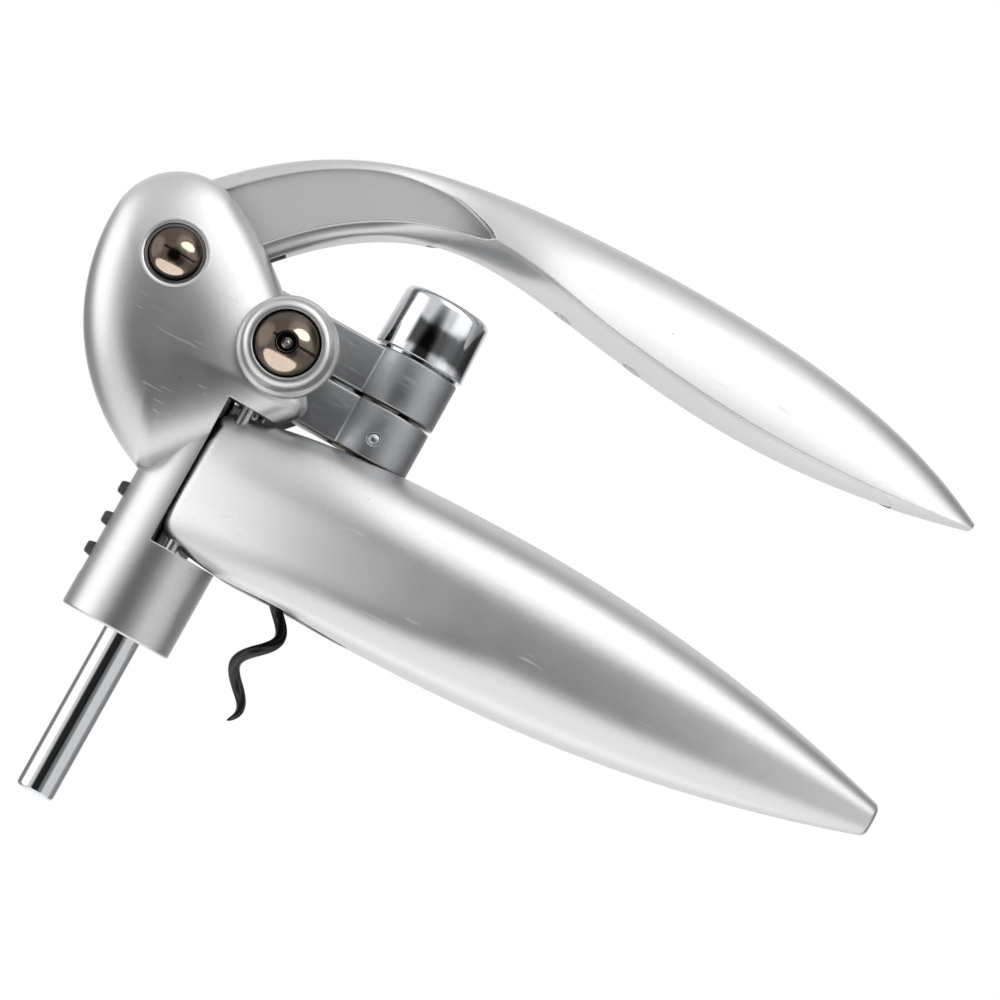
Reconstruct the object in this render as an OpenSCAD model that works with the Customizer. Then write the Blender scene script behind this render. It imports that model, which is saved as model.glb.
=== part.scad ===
// Lever corkscrew of the rabbit kind, closed: a geared lever lifts a rack, a rod and the worm carriage,
// two hinged handles clamp the bottle neck, and a nut carriage turns the worm.
// Origin on the worm axis at the bottle's mouth, X toward the handle tips, Z up along the worm, mm.

/* [Guide rod and sleeve] */
// Distance from the worm axis back to the guide rod axis
rod_gap = 23.2; // [22.8:0.1:24]
// Guide rod diameter
rod_d = 7.4; // [6.8:0.1:7.5]
// Length of rod that hangs below the sleeve
rod_drop = 33.1; // [15:0.1:45]
// Outside diameter of the sleeve round the rod
sleeve_d = 22; // [21.2:0.1:22.6]
// Distance of the sleeve axis behind the rod axis
sleeve_set_back = 1.6; // [1.3:0.1:1.9]
// Depth of the sleeve's lower face under the bottle seat
sleeve_depth = 45.2; // [43:0.1:52]
// Radial wall of the plastic bush round the rod
bush_wall = 1.6; // [1.2:0.1:2]
// Height of the rod bush
bush_h = 8; // [4:0.5:9]

/* [Rack and gear] */
// Module of the rack and gear teeth
gear_module = 2; // [1.9:0.02:2.04]
// Teeth round the gear
gear_teeth = 12; // [12:1:12]
// Pressure angle of the stub teeth
tooth_slant = 25; // [23:0.5:26]
// Play along the pitch line at each tooth
tooth_play = 0.3; // [0.25:0.05:0.45]
// Distance from the rod axis back to the rack's pitch line
rack_set_back = 12.6; // [12.4:0.1:12.8]
// Rack width across the body
rack_w = 5; // [4:0.1:5]
// Thickness of the rack bar behind its teeth
rack_bar = 5.1; // [4.7:0.1:5.2]
// Depth of the rack's lower end under the bottle seat
rack_depth = 36.5; // [36:0.1:37]

/* [Head] */
// Height of the lever axle above the bottle seat
axle_z = 20; // [19.6:0.1:20.6]
// Lever axle diameter
axle_d = 7; // [5.5:0.1:8]
// Room between the two cheeks
cheek_slot = 12; // [11.8:0.1:12.4]
// Reach of each cheek's crown from the middle plane
cheek_reach = 15; // [14.6:0.1:16]
// Radius of the head's round top
head_top_r = 13.1; // [12.6:0.1:13.6]
// Radius of the head's back edge
head_back_r = 41.1; // [39:0.1:44]
// Radius of the head's front edge
head_front_r = 75.4; // [70:0.2:80]
// Slope of the head's lower front edge
head_under_slope = 47.4; // [46:0.2:49]
// Depth of the handle pocket's floor under the bottle seat
pocket_floor = 27.6; // [27.4:0.1:29]
// Height of the handle pocket's roof above the bottle seat
pocket_roof = 2; // [1.8:0.1:2.3]
// Set-back of the handle pocket's wall behind the worm axis
pocket_back = 26.5; // [26.4:0.1:26.8]
// Diameter of the domed caps on the lever axle
axle_cap_d = 10; // [9:0.1:11]
// Width of the dark ring round each axle cap
axle_cap_ring = 0.5; // [0.4:0.1:1]

/* [Side bosses] */
// Set-back of the boss axis behind the worm axis
boss_back = 21.6; // [21:0.1:22]
// Height of the boss axis above the bottle seat
boss_z = 15; // [14.7:0.1:15.6]
// Flange diameter of the boss
boss_flange_d = 18.8; // [18:0.1:19.2]
// Diameter of the boss ring
boss_ring_d = 15.6; // [14.6:0.1:16]
// Thickness of the boss flange
boss_flange_t = 4; // [3:0.1:4.5]
// Reach of the boss ring from the middle plane
boss_reach = 20; // [19:0.1:21]
// Diameter of the domed rivet head
rivet_head_d = 12.2; // [11:0.1:12.6]
// Height of the rivet's dome
rivet_dome_h = 3.4; // [2.5:0.1:4]
// Diameter of the rivet's open mouth
rivet_mouth_d = 3.6; // [3:0.1:4]
// Diameter of the pin left in the rivet
rivet_pin_d = 2.1; // [1.6:0.1:2.4]

/* [Lever] */
// Thickness of the lever's flat root
lever_t = 11.2; // [10.6:0.1:11.2]
// Radius of the hub round the lever axle
lever_hub_r = 14.2; // [13.6:0.1:14.3]
// Width of the rim round the lever's recessed web
lever_rim = 3.4; // [2.8:0.1:4]
// Depth of the web under the rim
web_sink = 1.2; // [0.8:0.1:1.4]
// Largest width of the domed grip
grip_w = 27; // [22:0.5:29]
// Thickness of the strip under the grip
strip_t = 1.6; // [1.2:0.1:2]
// Share of the grip's length that the root's tongue reaches into
tongue_reach = 0.62; // [0.5:0.01:0.68]
// Height of the tongue
tongue_h = 6; // [5:0.1:6.4]
// Thickness of the tongue
tongue_t = 6.4; // [5:0.1:6.8]

/* [Carriages] */
// Height of the nut carriage's lower face above the bottle seat
nut_z = 4.5; // [4.4:0.1:4.8]
// Height of the nut carriage
nut_h = 9.8; // [9.4:0.1:10]
// Diameter of the nut collar
nut_d = 16.6; // [16:0.1:17.4]
// Slit between the two carriages
carriage_slit = 0.7; // [0.4:0.1:0.9]
// Height of the worm carriage
carriage_h = 9.7; // [9.4:0.1:10.2]
// Diameter of the worm carriage's collar
carriage_d = 17; // [16.4:0.1:18]
// Width of the two carriage arms
arm_w = 11.2; // [10.6:0.1:11.2]
// Height of the chromed cap
cap_h = 12.3; // [10:0.1:14]
// Cap diameter at its foot
cap_d = 17.9; // [17:0.1:18.4]
// Narrowing of the cap toward its top
cap_taper = 0.9; // [0.4:0.1:1.4]

/* [Worm] */
// Outside diameter of the worm's coil
worm_d = 7.2; // [6.6:0.1:7.4]
// Thickness of the worm's wire
worm_wire = 2.2; // [2:0.1:2.4]
// Rise of one turn of the worm
worm_pitch = 15.2; // [14.8:0.1:15.6]
// Depth of the worm's point under the bottle seat
worm_depth = 49.6; // [46:0.1:54]
// Length over which the wire narrows to its point
worm_taper = 6; // [4:0.5:9]

/* [Handles] */
// Reach of the handle tips in front of the worm axis
handle_reach = 114.2; // [108:0.1:118]
// Largest height of a handle
handle_h = 32.8; // [31:0.1:33]
// Largest reach of a closed handle from the middle plane
handle_bulge = 20.5; // [19.5:0.1:23]
// Where the handle is tallest, in front of the worm axis
handle_belly = 22; // [18:1:28]
// Depth of the handle's middle line under the bottle seat, at the worm axis
handle_drop = 11.34; // [11.3:0.02:11.6]
// Rise of the middle line for each millimetre toward the tips
handle_rise = 0.026; // [0.02:0.001:0.034]
// Gap between the two closed handles
handle_slit = 0.8; // [0.6:0.1:1.2]
// Set-back of the hinge pins behind the worm axis
hinge_back = 22.6; // [22.5:0.1:22.7]
// Distance of each hinge pin from the middle plane
hinge_side = 8.4; // [8.2:0.1:8.6]
// Hinge pin diameter
hinge_pin_d = 2.5; // [2:0.1:3]
// Hinge knuckle diameter
knuckle_d = 7.2; // [6.6:0.1:7.2]
// Radius of the bottle neck's bore between the jaws
neck_r = 14.6; // [14.2:0.1:15]
// How far each jaw is bored past the middle plane
jaw_past = 2; // [1.6:0.1:2.4]
// Thickness of the rubber jaw pads
pad_t = 2; // [1.4:0.1:2.4]
// Height of the rubber jaw pads
pad_h = 18; // [12:0.5:19]
// Depth of the jaw pads' upper edge under the bottle seat
pad_depth = 3; // [2.6:0.1:4]
// Radius of the hole that the worm passes through
worm_hole_r = 5.2; // [4.6:0.1:6]
// Wall of the hollow handle
handle_wall = 3.2; // [2.8:0.1:3.6]
// Thickness of the flat cover inside each handle
cover_t = 2; // [1.6:0.1:2.4]

/* [Screws and pins] */
// Shank diameter of the small screws
screw_d = 2; // [1.6:0.1:2.4]
// Head diameter of the small screws
screw_head_d = 4; // [3.6:0.1:4.4]
// Height of the screw heads
screw_head_h = 1; // [0.8:0.1:1.1]
// Diameter of the pins in the gear, the rack and the rod
dowel_d = 2.4; // [2:0.1:2.6]
// Diameter of the small pin in the nut collar
nut_pin_d = 1.7; // [1.4:0.1:2]
// Wall of the bronze bushes
bearing_wall = 1.1; // [0.8:0.1:1.3]

/* [Clearances] */
// Radial play of running shafts
run_play = 0.06; // [0.04:0.01:0.09]
// Radial play of seated pieces
seat_play = 0.02; // [0.01:0.01:0.03]
// Gap between pieces that pass each other
pass_gap = 0.4; // [0.35:0.01:0.42]

/* [Hidden] */
$fn = 64;

silver = "#c9ccd1";
zinc = "#9aa0a8";
chrome = "#e3e5e8";
nickel = "#6d6862";
steel = "#b4b6b9";
dark_steel = "#4c4e52";
black = "#1d1d1f";
bronze = "#a9814c";
rubber = "#2a2a2c";
plastic = "#3a3b3e";

rod_x = -rod_gap;
rod_r = rod_d / 2;
sleeve_x = rod_x - sleeve_set_back;
sleeve_r = sleeve_d / 2;
rod_bore = rod_r + pass_gap;
bush_r = rod_r + run_play + bush_wall;

gear_r = gear_module * gear_teeth / 2;
tooth_top = 0.95 * gear_module;
tooth_foot = 1.15 * gear_module;
tooth_t = PI * gear_module / 2 - tooth_play;
tooth_step = PI * gear_module;
base_r = gear_r * cos(tooth_slant);
rack_x = rod_x - rack_set_back;
rack_root_x = rack_x + tooth_foot;
rack_back_x = rack_root_x + rack_bar;
rack_tooth_z = -rack_depth + tooth_t / 2 + tooth_foot * tan(tooth_slant);
slot_w = rack_w + 2 * 0.75 * pass_gap;
axle_x = rack_x - gear_r;
axle_r = axle_d / 2;
cheek_y = cheek_slot / 2;
cheek_cut = cheek_reach - cheek_y + pass_gap / 2;
spine_back_x = rack_back_x - 3.6;
pocket_x = -pocket_back;
sleeve_top = -2;
axle_seat = cheek_reach - 2.4;
lever_room_z = axle_z - 2 * lever_hub_r + 0.4;
fork_r = 1.4 * lever_hub_r;

boss_x = -boss_back;
boss_flange_y = boss_reach - 4.5;
boss_shank_r = boss_ring_d / 2;
rivet_r = 3;
rivet_seat = boss_reach - 1.4;

carriage_z = nut_z + nut_h + carriage_slit;
carriage_top = carriage_z + carriage_h;
arm_top = carriage_top - 0.3;
arm_back_x = rack_root_x + 0.8;
arm_mid_z = (carriage_z + arm_top) / 2;
bearing_z = carriage_z + 3.4;
washer_t = 0.55;
head_r = 4.1;
head_flange_r = 5.9;
head_flange_h = 3;
head_z = carriage_z + 0.3;
head_flange_z = bearing_z + washer_t + run_play;
cap_bore_r = head_flange_r + pass_gap;
cap_foot_z = head_flange_z + head_flange_h + 0.75 * pass_gap;
cap_groove = 0.6;
socket_h = 3.4;

coil_r = (worm_d - worm_wire) / 2;
coil_top = head_z - 1.4;
peg_z = nut_z + nut_h / 2 + 0.45;
nut_pin_z = nut_z + 3.8;
peg_r = 1.5;
nut_bore_r = worm_d / 2 + pass_gap;
nut_bush_r = 6.2;

hinge_x = -hinge_back;
hinge_pin_foot = -pocket_floor - 2.6 * hinge_pin_d;
hinge_pin_top = pocket_roof + 1.2 * hinge_pin_d;
slit_y = handle_slit / 2;
root_y = rod_r + 1.1;
tip_l = 0.8;
pad_r = neck_r - jaw_past / 5;
cover_from = neck_r + pad_t + handle_wall;
cover_to = handle_reach - 9;
cover_rim = handle_wall / 2;
cover_screw_x = [cover_from + 12, cover_to - 22];
screw_r = screw_d / 2;
screw_head_r = screw_head_d / 2;
dowel_r = dowel_d / 2;
lever_bush_r = axle_r + run_play + bearing_wall;
dowel_ring_r = (lever_bush_r + gear_r - tooth_foot) / 2;
dowel_turns = [60, 180, 300];

// Points round an arc in one plane
function arc_points(c, r, a0, a1, n) =
    [for (i = [0 : n]) c + r * [cos(a0 + (a1 - a0) * i / n), sin(a0 + (a1 - a0) * i / n)]];

// Smooth curve from the first to the last of its guide points, and its direction
function curve(p, t) = len(p) == 1 ? p[0]
    : curve([for (i = [0 : len(p) - 2]) (1 - t) * p[i] + t * p[i + 1]], t);
function curve_way(p, t) = curve([for (i = [0 : len(p) - 2]) p[i + 1] - p[i]], t);
function curve_side(p, t, d) = curve(p, t)
    + d * [-curve_way(p, t)[1], curve_way(p, t)[0]] / norm(curve_way(p, t));

function rounded(v, n) = sign(v) * pow(abs(v), 2 / n);

// Solid through a row of rings that have the same number of points
module loft(rings) {
    n = len(rings[0]);
    last = len(rings) - 1;
    points = [for (ring = rings) each ring];
    sides = [for (i = [0 : last - 1], j = [0 : n - 1]) let (k = (j + 1) % n)
        each [[i * n + j, i * n + k, (i + 1) * n + k], [i * n + j, (i + 1) * n + k, (i + 1) * n + j]]];
    foot = [for (j = [1 : n - 2]) [0, j + 1, j]];
    head = [for (j = [1 : n - 2]) [last * n, last * n + j, last * n + j + 1]];
    polyhedron(points, concat(sides, foot, head));
}

// Flat outline in X and Z, drawn out from y0 to y1
module slab(y0, y1) {
    translate([0, y1, 0]) rotate([90, 0, 0]) linear_extrude(y1 - y0) children();
}

// Round bar along Y
module bar_y(x, z, r, y0, y1) {
    translate([x, y0, z]) rotate([-90, 0, 0]) cylinder(r = r, h = y1 - y0);
}

// Round bar along Z
module bar_z(x, y, r, z0, z1) {
    translate([x, y, z0]) cylinder(r = r, h = z1 - z0);
}

module box(x0, x1, y0, y1, z0, z1) {
    translate([x0, y0, z0]) cube([x1 - x0, y1 - y0, z1 - z0]);
}

// Outline of the head: round top, long back and front arcs, straight lower front edge
head_top_c = [axle_x - 1.4, axle_z + 2.7];
head_back_turn = 177.6;
head_front_turn = 63.6;
head_back_c = head_top_c - (head_back_r - head_top_r) * [cos(head_back_turn), sin(head_back_turn)];
head_front_c = head_top_c - (head_front_r - head_top_r) * [cos(head_front_turn), sin(head_front_turn)];
under_point = [axle_x + 13.9, axle_z - 36.7];
under_turn = head_under_slope + 90;
under_side = [cos(under_turn), sin(under_turn)];
nose_r = 2.5;
heel_r = 3;
nose_turn = under_turn
    - acos((nose_r - (head_front_c - under_point) * under_side) / (head_front_r - nose_r));
heel_turn = under_turn
    + acos((heel_r - (head_back_c - under_point) * under_side) / (head_back_r - heel_r));
nose_c = head_front_c + (head_front_r - nose_r) * [cos(nose_turn), sin(nose_turn)];
heel_c = head_back_c + (head_back_r - heel_r) * [cos(heel_turn), sin(heel_turn)];
nose_end = nose_c - nose_r * under_side;
heel_end = heel_c - heel_r * under_side;
head_outline = concat(
    arc_points(head_back_c, head_back_r, heel_turn, head_back_turn + 0.5, 11),
    arc_points(head_top_c, head_top_r, head_back_turn, head_front_turn + 0.5, 10),
    arc_points(head_front_c, head_front_r, head_front_turn, nose_turn + 0.3, 8),
    arc_points(nose_c, nose_r, nose_turn, under_turn - 180, 4),
    [for (i = [1 : 4]) nose_end + (heel_end - nose_end) * i / 5],
    arc_points(heel_c, heel_r, under_turn + 180, heel_turn + 5, 4));
head_mid = [axle_x + 9.3, axle_z - 11];

// One cheek's pebble on the rear side, before its cuts
module pebble() {
    shares = [1, 0.985, 0.95, 0.89, 0.8, 0.66, 0.45, 0.2];
    function crown(s) = cheek_y + (cheek_reach - cheek_y) * sqrt(1 - pow(s, 3));
    loft([for (s = shares) [for (i = [len(head_outline) - 1 : -1 : 0])
        let (q = head_mid + s * (head_outline[i] - head_mid)) [q[0], crown(s), q[1]]]]);
}

module cheek() {
    difference() {
        pebble();
        bar_z(sleeve_x, 0, sleeve_r + seat_play, -sleeve_depth, sleeve_top + seat_play);
        box(pocket_x, 0, 0, 2 * cheek_reach, -pocket_floor, pocket_roof);
        bar_y(axle_x, axle_z, axle_r + seat_play, 0, 2 * cheek_reach);
        bar_y(axle_x, axle_z, axle_cap_d / 2 + axle_cap_ring, axle_seat, 2 * cheek_reach);
        bar_y(boss_x, boss_z, boss_shank_r + seat_play, 0, 2 * cheek_reach);
        bar_y(boss_x, boss_z, boss_flange_d / 2 + seat_play, boss_flange_y - boss_flange_t, 2 * boss_reach);
        bar_z(hinge_x, hinge_side, hinge_pin_d / 2 + seat_play, 0, hinge_pin_top);
    }
}

// Turned boss on the rear side: shank, flange, ring and the rivet's seat
module boss() {
    translate([boss_x, 0, boss_z]) rotate([-90, 0, 0]) rotate_extrude() polygon([
        [rivet_r + seat_play, cheek_y],
        [boss_shank_r, cheek_y],
        [boss_shank_r, boss_flange_y - boss_flange_t],
        [boss_flange_d / 2, boss_flange_y - boss_flange_t],
        [boss_flange_d / 2, boss_flange_y - 0.8],
        [boss_flange_d / 2 - 0.8, boss_flange_y],
        [boss_ring_d / 2, boss_flange_y + 0.3],
        [boss_ring_d / 2, boss_reach - 0.7],
        [boss_ring_d / 2 - 0.7, boss_reach],
        [rivet_head_d / 2 + seat_play, boss_reach],
        [rivet_head_d / 2 + seat_play, rivet_seat],
        [rivet_r + seat_play, rivet_seat]]);
}

// Rivet on the rear side: shank, domed head and open mouth
module rivet() {
    head_r = rivet_head_d / 2;
    foot = rivet_seat + 0.9;
    ball = (head_r * head_r + rivet_dome_h * rivet_dome_h) / (2 * rivet_dome_h);
    mouth_turn = acos(rivet_mouth_d / 2 / ball);
    dome = arc_points([0, foot + rivet_dome_h - ball], ball, acos(head_r / ball), mouth_turn, 12);
    translate([boss_x, 0, boss_z]) rotate([-90, 0, 0]) rotate_extrude() polygon(concat(
        [[rivet_pin_d / 2 + seat_play, cheek_y], [rivet_r, cheek_y], [rivet_r, rivet_seat],
            [head_r, rivet_seat]],
        dome,
        [[rivet_mouth_d / 2, rivet_seat + 0.6], [rivet_pin_d / 2 + seat_play, rivet_seat + 0.6]]));
}

// Low dome on a round foot, standing on the plane y0 of the rear side
module cap_dome(x, z, r, y0, foot, rise) {
    ball = (r * r + rise * rise) / (2 * rise);
    translate([x, y0, z]) rotate([-90, 0, 0]) rotate_extrude() polygon(concat(
        [[0, 0], [r, 0]],
        arc_points([0, foot + rise - ball], ball, acos(r / ball), 90, 12)));
}

// Gear outline round the origin, with a gap on the rack tooth beside the axle
function unroll(r) = r <= base_r ? 0 : tan(acos(base_r / r)) * 180 / PI - acos(base_r / r);
function tooth_half(r) = 90 * tooth_t / gear_r / PI + unroll(gear_r) - unroll(r);
flank = [gear_r - tooth_foot, base_r, base_r + 0.4, gear_r, gear_r + tooth_top / 2, gear_r + tooth_top];
gear_turn = (rack_tooth_z - axle_z) / gear_r * 180 / PI + 180 / gear_teeth;
gear_outline = [for (k = [0 : gear_teeth - 1]) let (a = gear_turn + 360 * k / gear_teeth)
    each concat([for (r = flank) r * [cos(a - tooth_half(r)), sin(a - tooth_half(r))]],
        [for (i = [len(flank) - 1 : -1 : 0]) flank[i]
            * [cos(a + tooth_half(flank[i])), sin(a + tooth_half(flank[i]))]])];

// Lever curves from the axle: upper edge, lower edge, and where the grip starts on each
lever_over = [[-2.2, 16.2], [32, 52.8], [59.6, 33], [107.9, 53.4], [153.4, 28.9]];
lever_under = [[7.8, -0.4], [47.6, 54.9], [69.2, 4.7], [153.4, 28]];
grip_over = 0.196;
grip_under = 0.18;
grip_end = 0.995;
grip_turns = [0, 0.03, 0.06, 0.1, 0.14, 0.18, 0.22, 0.26, 0.31, 0.36, 0.42, 0.5, 0.58, 0.66, 0.73, 0.79,
    0.84, 0.88, 0.92, 0.95, 0.978, grip_end];
function over_at(u) = [axle_x, axle_z] + curve(lever_over, grip_over + (1 - grip_over) * u);
function under_at(u) = [axle_x, axle_z] + curve(lever_under, grip_under + (1 - grip_under) * u);
function mid_at(u) = (over_at(u) + under_at(u)) / 2;
// Half width of the grip: it flares out of the root, then closes in a blunt round tip
function flare(u) = let (f = max(0, min(1, (u - 0.06) / 0.36))) f * f * (3 - 2 * f);
function grip_half(u) = u < 0.42 ? lever_t / 2 + (grip_w - lever_t) / 2 * flare(u)
    : grip_w / 2 * sqrt(1 - pow((u - 0.42) / 0.59, 2.6));
// Squareness of the section above and below its widest line
function square_over(u) = 2.3 + 1.7 * pow(max(0, 1 - u / 0.35), 2);
function square_under(u) = 8 - 4 * max(0, 1 - u / 0.25);
function grip_ring(u) = let (a = under_at(u), b = over_at(u), c = a + 0.38 * (b - a))
    [for (i = [0 : 27]) let (t = -360 * i / 28, n = sin(t) < 0 ? square_under(u) : square_over(u),
        q = c + (sin(t) < 0 ? c - a : b - c) * rounded(sin(t), n))
        [q[0], grip_half(u) * rounded(cos(t), n), q[1]]];

// Recessed web on both sides of the root, between the upper rim and the lower rim
web_tip = curve_side(lever_under, 0.374, lever_rim);
web_upper = [curve_side(lever_over, 0, -lever_rim), [15.6, 31.4], [33, 39.4], web_tip];
web_outline = concat([for (i = [0 : 14]) curve(web_upper, i / 14)],
    [for (i = [13 : -1 : 1]) curve_side(lever_under, 0.374 * i / 14, lever_rim)]);

// Slab that follows the grip's underside, from depth d0 to d1
strip_turns = [for (u = grip_turns) if (u > 0.05 && u < 0.94) u];
function strip_ring(u, narrow, d0, d1) = let (a = under_at(u), d = (over_at(u) - a) / norm(over_at(u) - a),
    w = 0.64 * grip_half(u) - narrow, p = a + d0 * d, q = a + d1 * d)
    [[p[0], -w, p[1]], [q[0], -w, q[1]], [q[0], w, q[1]], [p[0], w, p[1]]];

// Tongue of the root along the middle of the grip, and the screws that hold it
tongue_turns = [-0.05, 0, 0.06, 0.12, 0.18, 0.24, 0.3, 0.4, 0.5, tongue_reach];
screw_turns = [tongue_reach - 0.2, tongue_reach - 0.06];

module tongue(play) {
    way = [for (i = [0 : len(tongue_turns) - 1])
        mid_at(tongue_turns[i]) + (i == len(tongue_turns) - 1 ? [play, 0] : [0, 0])];
    rise = [0, tongue_h / 2 + play];
    slab(-tongue_t / 2 - play, tongue_t / 2 + play)
        polygon(concat([for (p = way) p + rise], [for (i = [len(way) - 1 : -1 : 0]) way[i] - rise]));
}

module grip_screw_holes() {
    for (u = screw_turns)
        bar_z(under_at(u)[0], 0, screw_r + seat_play, axle_z, mid_at(u)[1]);
}

module at_axle() {
    translate([axle_x, 0, axle_z]) children();
}

module web_cut() {
    at_axle() slab(lever_t / 2 - web_sink, grip_w) polygon(web_outline);
    at_axle() slab(-grip_w, -lever_t / 2 + web_sink) polygon(web_outline);
}

// Handle sizes along X: the root narrows from above more than from below
root_dip = 0.46;
function to_root(x) = pow(max(0, handle_belly - x) / (handle_belly - hinge_x), 2.5);
function handle_mid(x) = -handle_drop + handle_rise * x - root_dip * to_root(x);
function handle_half(x) = handle_h / 2 * (x > handle_belly
    ? 1 - 0.809 * pow((x - handle_belly) / (handle_reach - handle_belly), 2.14)
    : 1 - 0.222 * to_root(x));
function handle_out(x) = x > 14
    ? handle_bulge * (1 - 0.8 * pow((x - 14) / (handle_reach - 14), 2.14))
    : handle_bulge - (handle_bulge - hinge_side - knuckle_d / 2) * pow((14 - x) / (14 - hinge_x), 2.2);
function handle_in(x) = x < -12 ? root_y : x > 12 ? slit_y : root_y + (slit_y - root_y) * (x + 12) / 24;
handle_steps = [hinge_x, -21, -19, -16, -12, -7, -1, 6, 12, 20, 29, 38, 47, 56, 65, 73, 81, 88, 95, 101,
    106, handle_reach - 4, handle_reach - tip_l, handle_reach - tip_l / 3, handle_reach];
function tip_round(x) = sqrt(1 - pow(max(0, (x - handle_reach + tip_l) / (1.8 * tip_l)), 2));
function handle_square(x) = 3.2 + 1.4 * max(0, min(1, (40 - x) / 25));
function handle_ring(x, wall, y0) = let (h = (handle_half(x) - wall) * tip_round(x),
    w = (handle_out(x) - wall - y0) * tip_round(x), n = handle_square(x))
    [for (i = [0 : 24]) let (t = 90 - 7.5 * i)
        [x, y0 + w * rounded(cos(t), n), handle_mid(x) + h * rounded(sin(t), n)]];
hollow_steps = [cover_from + cover_rim, 30, 38, 47, 56, 65, 73, 81, 88, 95, cover_to - cover_rim];
cover_steps = [for (i = [0 : 16]) cover_from + (cover_to - cover_from) * i / 16];
function cover_outline(inset) = let (first = cover_from + inset - cover_rim,
    xs = [for (i = [0 : 16]) first + (cover_to - cover_from - 2 * (inset - cover_rim)) * i / 16])
    concat([for (x = xs) [x, handle_mid(x) - handle_half(x) + inset]],
        [for (i = [16 : -1 : 0]) [xs[i], handle_mid(xs[i]) + handle_half(xs[i]) - inset]]);

// Hinge knuckle on the pin, with a wide round below and a small one above
module knuckle() {
    z0 = handle_mid(hinge_x) - handle_half(hinge_x);
    z1 = handle_mid(hinge_x) + handle_half(hinge_x);
    r = knuckle_d / 2;
    function corner(v, big) = big - sqrt(big * big - pow(big - r + v, 2));
    translate([hinge_x, hinge_side, 0]) rotate_extrude() polygon(concat(
        [for (i = [0 : 6]) let (v = r * sin(15 * i)) [v, z0 + corner(v, 1.55 * r)]],
        [for (i = [6 : -1 : 0]) let (v = r * sin(15 * i)) [v, z1 - corner(v, r)]]));
}

// Rear handle: hollow grip with hinge knuckle, jaw bore and the ledge over the bottle's mouth
module handle() {
    difference() {
        union() {
            difference() {
                loft([for (x = handle_steps) handle_ring(x, 0, handle_in(x))]);
                loft([for (x = hollow_steps) handle_ring(x, handle_wall, 0)]);
            }
            knuckle();
            for (x = cover_screw_x)
                bar_y(x, handle_mid(x), screw_head_r + 0.8, slit_y + cover_t,
                    handle_out(x) - handle_wall / 2);
        }
        slab(0, slit_y + cover_t) polygon(cover_outline(cover_rim));
        for (x = cover_screw_x)
            bar_y(x, handle_mid(x), screw_r + seat_play, 0, slit_y + cover_t + 6);
        bar_z(hinge_x, hinge_side, hinge_pin_d / 2 + run_play, -2 * handle_h, handle_h);
        bar_z(0, -jaw_past, neck_r, -2 * handle_h, 0);
        bar_z(0, -jaw_past, pad_r + pad_t, -pad_depth - pad_h, -pad_depth);
        bar_z(0, 0, worm_hole_r, -1, handle_h);
        bar_z(0, 0, nut_d / 2 + 3 * pass_gap, nut_z - 1.5 * pass_gap, handle_h);
    }
}

// Rear cover inside the handle, with countersunk screw holes
module cover() {
    difference() {
        slab(slit_y, slit_y + cover_t) polygon(cover_outline(cover_rim + seat_play));
        for (x = cover_screw_x) {
            bar_y(x, handle_mid(x), screw_r + seat_play, 0, slit_y + 2 * cover_t);
            bar_y(x, handle_mid(x), screw_head_r + seat_play, 0, slit_y + screw_head_h);
        }
    }
}

module cover_screw_row() {
    for (x = cover_screw_x) {
        bar_y(x, handle_mid(x), screw_head_r, slit_y + 0.1, slit_y + screw_head_h);
        bar_y(x, handle_mid(x), screw_r, slit_y + screw_head_h - 0.1, slit_y + cover_t + 5);
    }
}

// Rear jaw pad: an arc of rubber in the jaw's seat
module pad() {
    intersection() {
        difference() {
            bar_z(0, -jaw_past, pad_r + pad_t - seat_play, -pad_depth - pad_h + seat_play,
                -pad_depth - seat_play);
            bar_z(0, -jaw_past, pad_r, -2 * handle_h, 0);
        }
        box(-11, 11, 4, handle_bulge, -2 * handle_h, 0);
    }
}

module front() {
    mirror([0, 1, 0]) children();
}

module both() {
    children();
    front() children();
}

module body_sleeve() {
    color(silver) difference() {
        bar_z(sleeve_x, 0, sleeve_r, -sleeve_depth, pocket_roof);
        for (s = [-1, 1])
            box(-2 * pocket_back, 0, s * cheek_reach - cheek_cut, s * cheek_reach + cheek_cut,
                sleeve_top, handle_h);
        box(pocket_x, 0, -sleeve_d, sleeve_d, -pocket_floor, handle_h);
        box(-2 * pocket_back, spine_back_x, -cheek_y, cheek_y, lever_room_z, handle_h);
        box(-2 * pocket_back, rack_back_x + pass_gap, -slot_w / 2, slot_w / 2, -rack_depth - 2, handle_h);
        bar_z(rod_x, 0, rod_bore, -2 * sleeve_depth, handle_h);
        bar_z(rod_x, 0, bush_r + seat_play, -2 * sleeve_depth, -sleeve_depth + bush_h);
        for (s = [-1, 1])
            bar_z(hinge_x, s * hinge_side, hinge_pin_d / 2 + seat_play, hinge_pin_foot, 0);
    }
}

module front_cheek() {
    color(silver) front() cheek();
}

module rear_cheek() {
    color(silver) cheek();
}

module front_boss() {
    color(silver) front() boss();
}

module rear_boss() {
    color(silver) boss();
}

module boss_rivets() {
    color(nickel) both() rivet();
}

module rivet_pins() {
    color(steel) both() bar_y(boss_x, boss_z, rivet_pin_d / 2, cheek_y, rivet_seat + 2.2);
}

module lever_axle() {
    color(steel) bar_y(axle_x, axle_z, axle_r, -axle_seat, axle_seat);
}

module axle_caps() {
    color(nickel) both() cap_dome(axle_x, axle_z, axle_cap_d / 2, axle_seat, 0.8, 2.6);
}

module hinge_pins() {
    color(steel) for (s = [-1, 1])
        bar_z(hinge_x, s * hinge_side, hinge_pin_d / 2, hinge_pin_foot, hinge_pin_top);
}

module rod_bush() {
    color(plastic) difference() {
        bar_z(rod_x, 0, bush_r, -sleeve_depth, -sleeve_depth + bush_h);
        bar_z(rod_x, 0, rod_r + run_play, -2 * sleeve_depth, 0);
    }
}

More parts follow.
